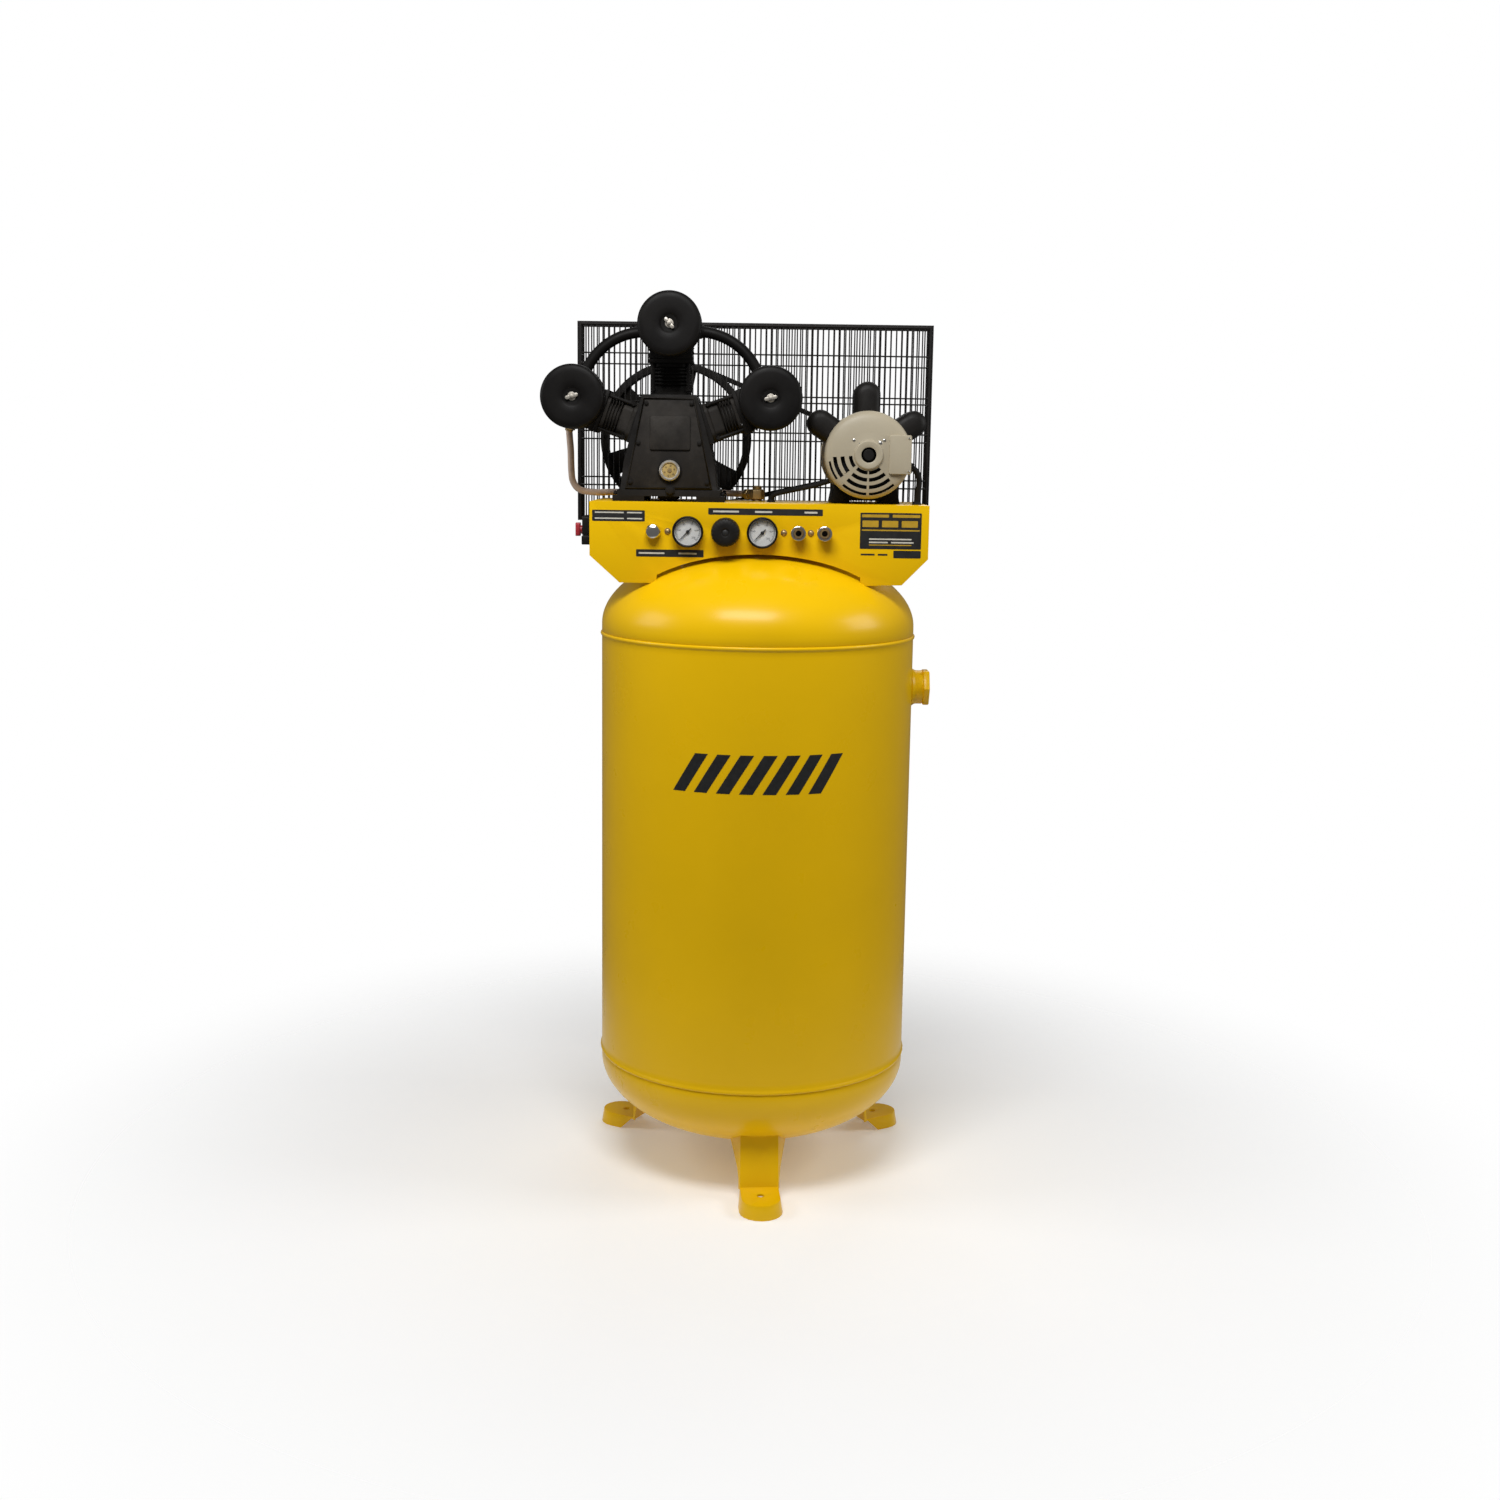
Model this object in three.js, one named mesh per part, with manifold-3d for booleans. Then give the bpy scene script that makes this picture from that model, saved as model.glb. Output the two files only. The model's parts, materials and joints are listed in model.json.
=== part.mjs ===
// Stationary air compressor: a three-cylinder belt-driven pump and its motor on a vertical receiver tank.
// Millimetres, +Z up, front towards -Y.  The group's origin is on the floor, under the middle
// of the whole machine; inside it, everything is laid out from the tank's own axis (x = y = 0).
import * as THREE from "three";
import { mergeVertices } from "three/addons/utils/BufferGeometryUtils.js";
import Module from "manifold-3d";

// ---------------------------------------------------------------- driving dimensions
export const FRAME_X = 32; // from the tank axis layout to the middle of the machine's box
export const FRAME_Y = 23.2;

const GAP = 0.3; // clearance kept between touching pieces

// receiver tank, 24 in diameter with 2:1 ellipsoidal heads
const TANK_R = 304.8;
const TANK_WALL = 4;
const HEAD_DEPTH = 152.4;
const SEAM_LOW = 227;
const SEAM_HIGH = 1070;
const TANGENT_LOW = 212;
const TANGENT_HIGH = 1085;
const TANK_SIDES = 32;

// feet
export const LEG_CLOCK = { front: 4, right: 119.5, left: -117.5 }; // degrees from the front
const PAD_END_R = 354.5;
const PAD_HALF = 41.5;
const PAD_TOP = 27;
const PAD_TAPER = 37 / 41.5; // the tray is narrower at its top
const BOLT_R = 300;
const BOLT_D = 14;

// top platform and front console, one bent sheet
const DECK_TOP = 1322;
const SHEET = 3;
const DECK_HALF_X = 316;
const DECK_HALF_Y = 150;
const SKIRT_CORNER_Z = 1222;
const SKIRT_LOW_Z = 1172;
const SKIRT_LOW_X = 260;

// three-cylinder W pump
export const PUMP_X = -171.5;
export const CRANK_Z = 1443;
export const CYL_ANGLE = 70.5; // side cylinders from the vertical
const CYL_Y = { center: -18, left: 6, right: -42 };
const BORE_R = 27;
const THROW = 22;
const CYL_BASE = 77.3;
const CYL_TOP = 136.5;
const HEAD_TOP = 218;
const FILTER_R = 59;
const FILTER_FRONT = -150;
const FILTER_BACK = -92;
const FILTER_AT = { center: [1.5, 203.5], left: [-177.5, 70], right: [189.5, 71.5] };

// belt drive
export const WHEEL_R = 153;
const BELT_Y = 187;
const BELT_IN_WHEEL = 143.4;
const BELT_IN_PULLEY = 33;
const BELT_T = 10;
const PULLEY_R = 42;

// motor
export const MOTOR_X = 202;
export const MOTOR_Z = 1413.7;
const MOTOR_R = 80;

// console fittings
const PANEL_Z = 1268.5;
const GAUGE_X = { tank: -132.5, outlet: 6 };
const KNOB_X = -62.4;
const COUPLER_X = { left: 73, right: 121.6 };
const PLUG_X = -197;

// belt guard
const GUARD_FRONT = { x0: -366, x1: 340, z0: 1279, z1: 1669, y0: 156, y1: 160 };
const GUARD_BACK = { x0: -370, x1: 344, z0: 1276, z1: 1672, y0: 160.4, y1: 262 };

// ---------------------------------------------------------------- solids
const wasm = await Module();
wasm.setup();

// A closed geometry as a solid, its faces turned outwards.
function solid(geometry) {
  const flat = geometry.index ? geometry.toNonIndexed() : geometry.clone();
  const bare = new THREE.BufferGeometry().setAttribute(
    "position",
    flat.getAttribute("position"),
  );
  const merged = mergeVertices(bare, 1e-4);
  const all = merged.index.array;
  const keep = [];
  for (let i = 0; i < all.length; i += 3) {
    const [a, b, c] = [all[i], all[i + 1], all[i + 2]];
    if (a !== b && b !== c && a !== c) keep.push(a, b, c);
  }
  const make = (tris) =>
    new wasm.Manifold(
      new wasm.Mesh({
        numProp: 3,
        vertProperties: new Float32Array(merged.attributes.position.array),
        triVerts: new Uint32Array(tris),
      }),
    );
  const made = make(keep);
  if (made.volume() >= 0) return made;
  for (let i = 0; i < keep.length; i += 3)
    [keep[i + 1], keep[i + 2]] = [keep[i + 2], keep[i + 1]];
  return make(keep);
}

const join = (first, ...rest) => rest.reduce((a, b) => a.add(b), first);
const cut = (first, ...rest) => rest.reduce((a, b) => a.subtract(b), first);

function geometryOf(shape) {
  const m = shape.getMesh();
  const n = m.numProp;
  const v = new Float32Array(m.numVert * 3);
  for (let i = 0; i < m.numVert; i++)
    v.set(m.vertProperties.subarray(i * n, i * n + 3), i * 3);
  const g = new THREE.BufferGeometry();
  g.setAttribute("position", new THREE.BufferAttribute(v, 3));
  g.setIndex(new THREE.BufferAttribute(new Uint32Array(m.triVerts), 1));
  g.computeVertexNormals();
  return g;
}

const block = (x0, x1, y0, y1, z0, z1) =>
  solid(
    new THREE.BoxGeometry(x1 - x0, y1 - y0, z1 - z0).translate(
      (x0 + x1) / 2,
      (y0 + y1) / 2,
      (z0 + z1) / 2,
    ),
  );

// A round bar, or a cone, from point a to point b.
function rod(a, b, r, seg = 16, rEnd = r, phase = 0) {
  const from = new THREE.Vector3(...a);
  const along = new THREE.Vector3(...b).sub(from);
  const g = new THREE.CylinderGeometry(rEnd, r, along.length(), seg);
  g.rotateY(phase);
  g.translate(0, along.length() / 2, 0);
  g.applyQuaternion(
    new THREE.Quaternion().setFromUnitVectors(
      new THREE.Vector3(0, 1, 0),
      along.clone().normalize(),
    ),
  );
  g.translate(from.x, from.y, from.z);
  return solid(g);
}

const closedLoop = (points) => [...points, points[0]];
const v2 = (points) => points.map(([a, b]) => new THREE.Vector2(a, b));

// A turned shape about the Z axis (profile of radius, height), or about the Y axis.
const turnedZ = (profile, seg) =>
  solid(new THREE.LatheGeometry(v2(profile), seg).rotateX(Math.PI / 2));
const turnedY = (profile, seg) =>
  solid(new THREE.LatheGeometry(v2(profile), seg));

function outline(points, holes = []) {
  const s = new THREE.Shape(v2(points));
  for (const h of holes) s.holes.push(new THREE.Path(v2(h)));
  return s;
}
const flatExtrude = (points, depth, holes, steps = 1) =>
  new THREE.ExtrudeGeometry(outline(points, holes), {
    depth,
    bevelEnabled: false,
    steps,
  });
// An outline in X and Z, from y0 to y1.
const prismY = (points, y0, y1, holes = []) =>
  solid(
    flatExtrude(points, y1 - y0, holes)
      .rotateX(Math.PI / 2)
      .translate(0, y1, 0),
  );
// An outline in X and Y, from z0 to z1.
const prismZ = (points, z0, z1, holes = []) =>
  solid(flatExtrude(points, z1 - z0, holes).translate(0, 0, z0));

const arc = (cx, cy, r, from, to, steps) =>
  Array.from({ length: steps + 1 }, (_, i) => {
    const t = THREE.MathUtils.degToRad(from + ((to - from) * i) / steps);
    return [cx + r * Math.cos(t), cy + r * Math.sin(t)];
  });

// A pipe along a smooth line through the points.
function pipe(points, r, sides, steps, tension = 0.5) {
  const path = new THREE.CatmullRomCurve3(
    points.map((p) => new THREE.Vector3(...p)),
    false,
    "catmullrom",
    tension,
  );
  const section = new THREE.Shape(
    v2(arc(0, 0, r, 0, 360, sides).slice(0, sides)),
  );
  return solid(
    new THREE.ExtrudeGeometry(section, {
      steps,
      bevelEnabled: false,
      extrudePath: path,
    }),
  );
}

// ---------------------------------------------------------------- scene graph
const machine = new THREE.Group();
const layout = new THREE.Group();
layout.position.set(FRAME_X, FRAME_Y, 0);
machine.add(layout);

const paint = {
  yellow: { color: 0xeebb0c, roughness: 0.35, metalness: 0.0 },
  black: { color: 0x1d1b19, roughness: 0.6, metalness: 0.1 },
  iron: { color: 0x2a2725, roughness: 0.7, metalness: 0.3 },
  beige: { color: 0xb5aa92, roughness: 0.45, metalness: 0.1 },
  steel: { color: 0x9a9a98, roughness: 0.35, metalness: 0.9 },
  brass: { color: 0xb08d4a, roughness: 0.35, metalness: 0.9 },
  copper: { color: 0xb0714a, roughness: 0.35, metalness: 0.9 },
  rubber: { color: 0x161616, roughness: 0.85, metalness: 0.0 },
  red: { color: 0x8c1f22, roughness: 0.5, metalness: 0.0 },
  chrome: { color: 0xc8c8c6, roughness: 0.15, metalness: 1.0 },
};

function piece(name, shape, finish, parent = layout) {
  const mesh = new THREE.Mesh(
    geometryOf(shape),
    new THREE.MeshStandardMaterial(paint[finish]),
  );
  mesh.name = name;
  parent.add(mesh);
  return mesh;
}

// ---------------------------------------------------------------- receiver tank
function quarter(rx, rz, zc, way, steps = 6) {
  return Array.from({ length: steps + 1 }, (_, i) => {
    const t = (Math.PI / 2) * (i / steps);
    return [
      i === steps ? 0 : rx * Math.cos(t),
      zc + way * rz * Math.sin(t),
    ];
  });
}
// The outside of a head as a filled body, larger by e all round.
const headBody = (zc, way, seam, e) =>
  turnedZ(
    [
      [0, seam],
      [TANK_R + e, seam],
      ...quarter(TANK_R + e, HEAD_DEPTH + e, zc, way),
    ],
    TANK_SIDES,
  );
const headShell = (zc, way, seam) =>
  turnedZ(
    closedLoop([
      [TANK_R, seam],
      ...quarter(TANK_R, HEAD_DEPTH, zc, way),
      ...quarter(TANK_R - TANK_WALL, HEAD_DEPTH - TANK_WALL, zc, way).reverse(),
      [TANK_R - TANK_WALL, seam],
    ]),
    TANK_SIDES,
  );
const inR = TANK_R - TANK_WALL;
piece(
  "tank_shell",
  turnedZ(
    closedLoop([
      [inR, SEAM_LOW],
      [TANK_R + 1, SEAM_LOW],
      [TANK_R + 2.5, SEAM_LOW + 3],
      [TANK_R, SEAM_LOW + 8],
      [TANK_R, SEAM_HIGH - 8],
      [TANK_R + 2.5, SEAM_HIGH - 3],
      [TANK_R + 1, SEAM_HIGH],
      [inR, SEAM_HIGH],
    ]),
    TANK_SIDES,
  ),
  "yellow",
);
piece(
  "tank_top_head",
  headShell(TANGENT_HIGH, 1, SEAM_HIGH + GAP),
  "yellow",
);
piece(
  "tank_bottom_head",
  headShell(TANGENT_LOW, -1, SEAM_LOW - GAP),
  "yellow",
);
const topHeadBody = headBody(TANGENT_HIGH, 1, SEAM_HIGH, 0.5);
const bottomHeadBody = headBody(TANGENT_LOW, -1, SEAM_LOW, 0.5);

// pressed channel legs: a leaning face plate, flared flanges that grow deeper towards the tank,
// and a tray-shaped bolt-down pad with a turned-down rim
function leg(name, turn) {
  const group = new THREE.Group();
  group.rotation.z = THREE.MathUtils.degToRad(turn);
  layout.add(group);
  const f0 = -262;
  const b0 = -216;
  const foot = PAD_TOP - 5;
  const channel = flatExtrude(
    [
      [-36.5, f0],
      [36.5, f0],
      [57.2, b0],
      [53, b0],
      [33, f0 + 4],
      [-33, f0 + 4],
      [-53, b0],
      [-57.2, b0],
    ],
    180 - foot,
    [],
    8,
  );
  const p = channel.attributes.position;
  for (let i = 0; i < p.count; i++) {
    const [x, y, z] = [p.getX(i), p.getY(i), p.getZ(i) + foot];
    const face = -(265.2 - 0.1176 * z);
    const deep = Math.max(7, 0.572 * z - 23.8);
    if (y > f0 + 10) {
      const wall = Math.abs(x) < 55 ? 4.2 : 0;
      p.setXY(i, Math.sign(x) * (36.5 + 0.45 * deep - wall), face + deep);
    } else p.setY(i, face + (y - f0));
  }
  channel.translate(0, 0, foot);
  const end = -(PAD_END_R - PAD_HALF);
  const root = -289;
  const inner = PAD_HALF - 4;
  const rim = flatExtrude(
    [
      [PAD_HALF, root],
      [PAD_HALF, end],
      ...arc(0, end, PAD_HALF, 0, -180, 10).slice(1, -1),
      [-PAD_HALF, end],
      [-PAD_HALF, root],
      [-inner, root],
      [-inner, end],
      ...arc(0, end, inner, -180, 0, 10).slice(1, -1),
      [inner, end],
      [inner, root],
    ],
    PAD_TOP,
  );
  const q = rim.attributes.position;
  for (let i = 0; i < q.count; i++) {
    if (q.getZ(i) < 1) continue;
    const y = q.getY(i);
    q.setX(i, q.getX(i) * PAD_TAPER);
    q.setY(i, y > root - 0.5 ? -261 : end + (y - end) * PAD_TAPER);
  }
  const top = PAD_HALF * PAD_TAPER;
  const plate = prismZ(
    [
      [top, -259],
      [top, end],
      ...arc(0, end, top, 0, -180, 10).slice(1, -1),
      [-top, end],
      [-top, -259],
    ],
    PAD_TOP - 4,
    PAD_TOP,
  );
  const head = bottomHeadBody.rotate([0, 0, -turn]);
  const shape = cut(
    join(solid(channel), plate, solid(rim)),
    head,
    rod([0, -BOLT_R, 5], [0, -BOLT_R, 40], BOLT_D / 2, 14),
  );
  piece(name, shape, "yellow", group);
}
for (const [k, turn] of Object.entries(LEG_CLOCK)) leg("leg_" + k, turn);

// capped service port on the right-hand side
piece(
  "side_port_plug",
  cut(
    join(
      rod([290, 0, 964], [327, 0, 964], 33, 20),
      rod([326, 0, 964], [339, 0, 964], 38, 6),
    ),
    rod([0, 0, 900], [0, 0, 1030], TANK_R + 0.5, TANK_SIDES, TANK_R + 0.5, 0),
  ),
  "yellow",
);

// condensate drain under the tank, with its wing handle in front
const LOWEST = TANGENT_LOW - HEAD_DEPTH;
piece(
  "drain_valve",
  join(
    rod([0, 0, 42], [0, 0, LOWEST - 0.4], 8, 12),
    rod([0, 0, 26], [0, 0, 43], 13, 12),
    rod([0, 0, 12], [0, 0, 27], 7, 12),
    rod([0, -10, 34], [0, -19, 34], 6, 12),
  ),
  "brass",
);
piece(
  "drain_handle",
  join(
    rod([0, -19.4, 34], [0, -27, 34], 5, 12),
    block(-15, 15, -26.5, -23, 30.5, 37.5),
  ),
  "brass",
);

// ---------------------------------------------------------------- platform and console sheet
const headAt = (x, y) =>
  TANGENT_HIGH +
  HEAD_DEPTH * Math.sqrt(Math.max(0, 1 - (x * x + y * y) / TANK_R ** 2));
const skirt = (() => {
  const rise = [];
  for (let i = 0; i <= 16; i++) {
    const x = 190 - (380 * i) / 16;
    rise.push([x, headAt(x, DECK_HALF_Y) + 10]);
  }
  return [
    [-DECK_HALF_X, DECK_TOP],
    [-DECK_HALF_X, SKIRT_CORNER_Z],
    [-SKIRT_LOW_X, SKIRT_LOW_Z],
    [-192, SKIRT_LOW_Z],
    ...rise.reverse(),
    [192, SKIRT_LOW_Z],
    [SKIRT_LOW_X + 8, SKIRT_LOW_Z + 2],
    [DECK_HALF_X, SKIRT_CORNER_Z + 1],
    [DECK_HALF_X, DECK_TOP],
  ];
})();
const CHECK_AT = [-5, 40];
piece(
  "platform",
  cut(
    join(
      block(-DECK_HALF_X, DECK_HALF_X, -DECK_HALF_Y, DECK_HALF_Y, DECK_TOP - SHEET, DECK_TOP),
      prismY(skirt, -DECK_HALF_Y, -DECK_HALF_Y + SHEET),
      prismY(skirt, DECK_HALF_Y - SHEET, DECK_HALF_Y),
      block(-DECK_HALF_X, -DECK_HALF_X + SHEET, -DECK_HALF_Y, DECK_HALF_Y, 1282, DECK_TOP),
      block(DECK_HALF_X - SHEET, DECK_HALF_X, -DECK_HALF_Y, DECK_HALF_Y, 1282, DECK_TOP),
    ),
    topHeadBody,
    block(-320, -310, -104, -21, 1270, 1298),
    rod([...CHECK_AT, 1300], [...CHECK_AT, 1340], 17, 16),
    ...[GAUGE_X.tank, GAUGE_X.outlet, KNOB_X, COUPLER_X.left, COUPLER_X.right, PLUG_X].map(
      (x) => rod([x, -160, PANEL_Z], [x, -140, PANEL_Z], 9, 12),
    ),
  ),
  "yellow",
);

// ---------------------------------------------------------------- pump
const pump = new THREE.Group();
pump.position.set(PUMP_X, 0, CRANK_Z);
layout.add(pump);

const side = THREE.MathUtils.degToRad(CYL_ANGLE);
const turns = { center: 0, left: -CYL_ANGLE, right: CYL_ANGLE };
const bank = {};
for (const k of Object.keys(turns)) {
  bank[k] = new THREE.Group();
  bank[k].rotation.y = THREE.MathUtils.degToRad(turns[k]);
  bank[k].position.y = CYL_Y[k];
  pump.add(bank[k]);
}
const tilt = (shape, k) =>
  shape.rotate([0, turns[k], 0]).translate([0, CYL_Y[k], 0]);

const boss = block(-38, 38, -40, 40, 30, 77);
const bore = rod([0, 0, 10], [0, 0, 90], BORE_R, 16);
piece(
  "crankcase",
  cut(
    join(
      prismY(
        [
          [-92, -103],
          [92, -103],
          [85, -48],
          [69, 15],
          [51, 77],
          [-51, 77],
          [-69, 15],
          [-85, -48],
        ],
        -100,
        90,
      ),
      block(-97, 97, -103, 93, -111.4, -99),
      block(-106, -46, -103, -62, -120.6, -110),
      block(52, 106, -103, -62, -120.6, -110),
      block(-106, -46, 46, 93, -120.6, -110),
      block(52, 106, 46, 93, -120.6, -110),
      block(-18, 14, -80, 60, -118, -110),
      tilt(boss, "left"),
      tilt(boss, "right"),
      block(-35.5, 40, -106, -99, -25, 37),
      rod([2, -107, -63], [2, -99, -63], 23, 20),
      rod([0, 88, 0], [0, 106, 0], 50, 20, 44),
    ),
    rod([0, -88, 0], [0, 48, 0], 54, 24),
    rod([0, 40, 0], [0, 120, 0], 13, 16),
    tilt(bore, "center"),
    tilt(bore, "left"),
    tilt(bore, "right"),
  ),
  "iron",
  pump,
);
piece(
  "sight_glass",
  turnedY(
    [
      [0, -107.4],
      [19, -107.4],
      [19, -113],
      [16.5, -115],
      [13, -113],
      [0, -113],
    ],
    20,
  ).translate([2, 0, -63]),
  "brass",
  pump,
);
piece(
  "oil_drain_plug",
  rod([3, -103.4, -100], [3, -114, -100], 8, 6),
  "steel",
  pump,
);
piece(
  "oil_fill_plug",
  join(
    rod([62, 94.5, -70], [62, 104, -70], 11, 12),
    rod([62, 103.5, -70], [62, 112, -70], 15, 12),
  ),
  "black",
  pump,
);

const finned = closedLoop([
  [BORE_R, CYL_BASE],
  [38, CYL_BASE],
  [38, CYL_BASE + 6],
  [31, CYL_BASE + 6],
  [31, 96],
  [36, 96],
  [36, 102],
  [31, 102],
  [31, 112],
  [36, 112],
  [36, 118],
  [31, 118],
  [31, CYL_TOP - 7],
  [38, CYL_TOP - 7],
  [38, CYL_TOP],
  [BORE_R, CYL_TOP],
]);
for (const k of ["center", "left", "right"]) {
  piece("cylinder_" + k, turnedZ(finned, 16), "iron", bank[k]);
  let head = block(-42, 42, -44, 44, CYL_TOP + GAP, HEAD_TOP);
  for (const x of [-25, 0, 25])
    head = head.subtract(block(x - 5, x + 5, -50, 50, HEAD_TOP - 12, HEAD_TOP + 5));
  // the two side heads carry one tube boss, the middle head one on each side
  if (k !== "left")
    head = head.add(rod([-41, k === "center" ? 12 : 12, 197], [-47, 12, 197], 15, 12));
  if (k !== "right")
    head = head.add(rod([41, -12, 197], [47, -12, 197], 15, 12));
  piece("head_" + k, head, "iron", bank[k]);

  // intake filter canister on a short neck out of the front of the head
  const [fx, fz] = FILTER_AT[k];
  const neckEnd = CYL_Y[k] - 44 - GAP;
  piece(
    "filter_" + k,
    join(
      rod([fx, FILTER_FRONT + 5, fz], [fx, FILTER_BACK, fz], FILTER_R, 32),
      rod([fx, FILTER_FRONT, fz], [fx, FILTER_FRONT + 5, fz], FILTER_R - 6, 32, FILTER_R),
      rod([fx, FILTER_BACK - 1, fz], [fx, neckEnd, fz], 15, 14),
    ),
    "black",
    pump,
  );
  piece(
    "piston_" + k,
    join(
      rod([0, 0, 84], [0, 0, 113.5], BORE_R - 0.8, 16),
      block(-6, 6, -5, 5, 60, 85),
    ),
    "steel",
    bank[k],
  );
}

piece(
  "crankshaft",
  join(
    rod([0, 39, 0], [0, 214, 0], 12, 20),
    rod([0, 28, 0], [0, 40, 0], 44, 24),
    rod([0, -56, THROW], [0, 29, THROW], 11, 16),
  ),
  "steel",
  pump,
);

const wheelRim = closedLoop([
  [138, 170],
  [WHEEL_R, 170],
  [WHEEL_R, 177],
  [142, 180],
  [142, 194],
  [WHEEL_R, 197],
  [WHEEL_R, 204],
  [138, 204],
]);
const spokes = [9, 69, 129, 189, 249, 309].map((a) =>
  prismY(
    [
      [-11, 20],
      [11, 20],
      [25, 139.5],
      [-25, 139.5],
    ],
    181,
    193,
  ).rotate([0, a, 0]),
);
piece(
  "flywheel",
  cut(
    join(turnedY(wheelRim, 24), rod([0, 168, 0], [0, 206, 0], 30, 20), ...spokes),
    rod([0, 150, 0], [0, 220, 0], 12.5, 20),
  ),
  "iron",
  pump,
);

// manifold tubes arching from the middle head down to each side head
const sx = Math.sin(side);
const cx = Math.cos(side);
function arch(way, y) {
  const start = [way * 47.3, 197];
  const end = [way * (197 * sx - 47.3 * cx), 197 * cx + 47.3 * sx];
  const curve = new THREE.CubicBezierCurve3(
    new THREE.Vector3(start[0], y, start[1]),
    new THREE.Vector3(start[0] + way * 62, y, start[1]),
    new THREE.Vector3(end[0] - way * cx * 52, y, end[1] + sx * 52),
    new THREE.Vector3(end[0], y, end[1]),
  );
  return solid(
    new THREE.ExtrudeGeometry(
      new THREE.Shape(v2(arc(0, 0, 10.5, 0, 360, 8).slice(0, 8))),
      { steps: 10, bevelEnabled: false, extrudePath: curve },
    ),
  );
}
piece("manifold_tube_left", arch(-1, -6), "black", pump);
piece("manifold_tube_right", arch(1, -30), "black", pump);

// copper discharge line: down from the left head, round behind the pump, to the check valve
const outR = 192;
const outL = 42.5;
piece(
  "discharge_tube",
  pipe(
    [
      [PUMP_X - outR * sx - outL * cx, 6, CRANK_Z + outR * cx - outL * sx],
      [PUMP_X - outR * sx - outL * cx - 3, 6, CRANK_Z + outR * cx - outL * sx - 11],
      [-369, 6, 1440],
      [-367, 6, 1415],
      [-366, 6, 1380],
      [-363, 8, 1356],
      [-350, 14, 1340],
      [-322, 34, 1335],
      [-296, 80, 1335],
      [-268, 120, 1335],
      [-228, 134, 1335],
      [-170, 134, 1335],
      [-110, 134, 1335],
      [-66, 120, 1335],
      [-38, 85, 1335],
      [-19.4, 59.2, 1335],
    ],
    6.5,
    6,
    34,
  ),
  "copper",
);
piece(
  "check_valve",
  join(
    rod([...CHECK_AT, 1225], [...CHECK_AT, 1327], 10, 12).subtract(topHeadBody),
    rod([...CHECK_AT, 1326], [...CHECK_AT, 1345], 15, 6),
    rod([...CHECK_AT, 1344], [...CHECK_AT, 1352], 9, 12),
    rod([...CHECK_AT, 1335], [-5 - 0.6 * 23.4, 40 + 0.8 * 23.4, 1335], 9, 6),
  ),
  "brass",
);

// ---------------------------------------------------------------- motor
const motor = new THREE.Group();
motor.position.set(MOTOR_X, 0, MOTOR_Z);
layout.add(motor);

piece(
  "motor_shell",
  turnedY(
    closedLoop([
      [MOTOR_R - 3, -96],
      [MOTOR_R, -96],
      [MOTOR_R, 142],
      [MOTOR_R - 5, 147],
      [9.5, 147],
      [9.5, 139],
      [MOTOR_R - 3, 139],
    ]),
    28,
  ),
  "beige",
  motor,
);
piece(
  "motor_front_bell",
  join(
    turnedY(
      closedLoop([
        [MOTOR_R - 2, -96.3],
        [MOTOR_R + 1.5, -96.3],
        [MOTOR_R + 1.5, -112],
        [76, -121],
        [60, -126],
        [28, -128],
        [26, -133],
        [14, -133],
        [14, -123],
        [72, -116],
        [MOTOR_R - 2, -108],
      ]),
      24,
    ),
    block(36, 79, -131, -112, -32, 35),
  ),
  "beige",
  motor,
);
piece(
  "motor_base",
  cut(
    prismY(
      [
        [-66, -91.4],
        [66, -91.4],
        [60, -58],
        [-60, -58],
      ],
      -52,
      92,
    ),
    rod([0, -120, 0], [0, 160, 0], MOTOR_R + 0.6, 28),
    block(-30, 30, -60, 100, -100, -86),
  ),
  "black",
  motor,
);
const dome = (top) => [
  [25, 66],
  ...arc(0, top - 25, 25, 0, 180, 8),
  [-25, 66],
];
for (const [k, a, top] of [
  ["top", 0, 138],
  ["left", -56, 131.5],
  ["right", 56, 131.5],
]) {
  const group = new THREE.Group();
  group.rotation.y = THREE.MathUtils.degToRad(a);
  motor.add(group);
  piece(
    "capacitor_cover_" + k,
    cut(prismY(dome(top), -66, 52), rod([0, -120, 0], [0, 160, 0], MOTOR_R + 0.8, 56)),
    "black",
    group,
  );
}
piece(
  "motor_rotor",
  join(rod([0, -118, 0], [0, 210, 0], 8, 16), rod([0, -70, 0], [0, 110, 0], 55, 20)),
  "steel",
  motor,
);
piece(
  "motor_pulley",
  turnedY(
    closedLoop([
      [8.5, 172],
      [PULLEY_R, 172],
      [PULLEY_R, 177],
      [31.5, 180],
      [31.5, 194],
      [PULLEY_R, 197],
      [PULLEY_R, 202],
      [8.5, 202],
    ]),
    24,
  ),
  "iron",
  motor,
);

// power leads, fixed at both ends
piece(
  "motor_cable_left",
  pipe(
    [
      [22, -20, DECK_TOP + 0.9],
      [22.3, -20.2, 1328],
      [30, -25, 1337],
      [60, -37, 1345],
      [100, -51, 1354],
      [131, -60, 1363.5],
    ],
    4.5,
    6,
    14,
  ),
  "rubber",
);
piece(
  "motor_cable_right",
  pipe(
    [
      [280.5, -84, 1392],
      [293, -84, 1387],
      [301, -83, 1370],
      [300, -80, 1345],
      [298.2, -78.2, 1330],
      [298, -78, DECK_TOP + 0.9],
    ],
    5.5,
    6,
    12,
  ),
  "rubber",
);

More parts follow.
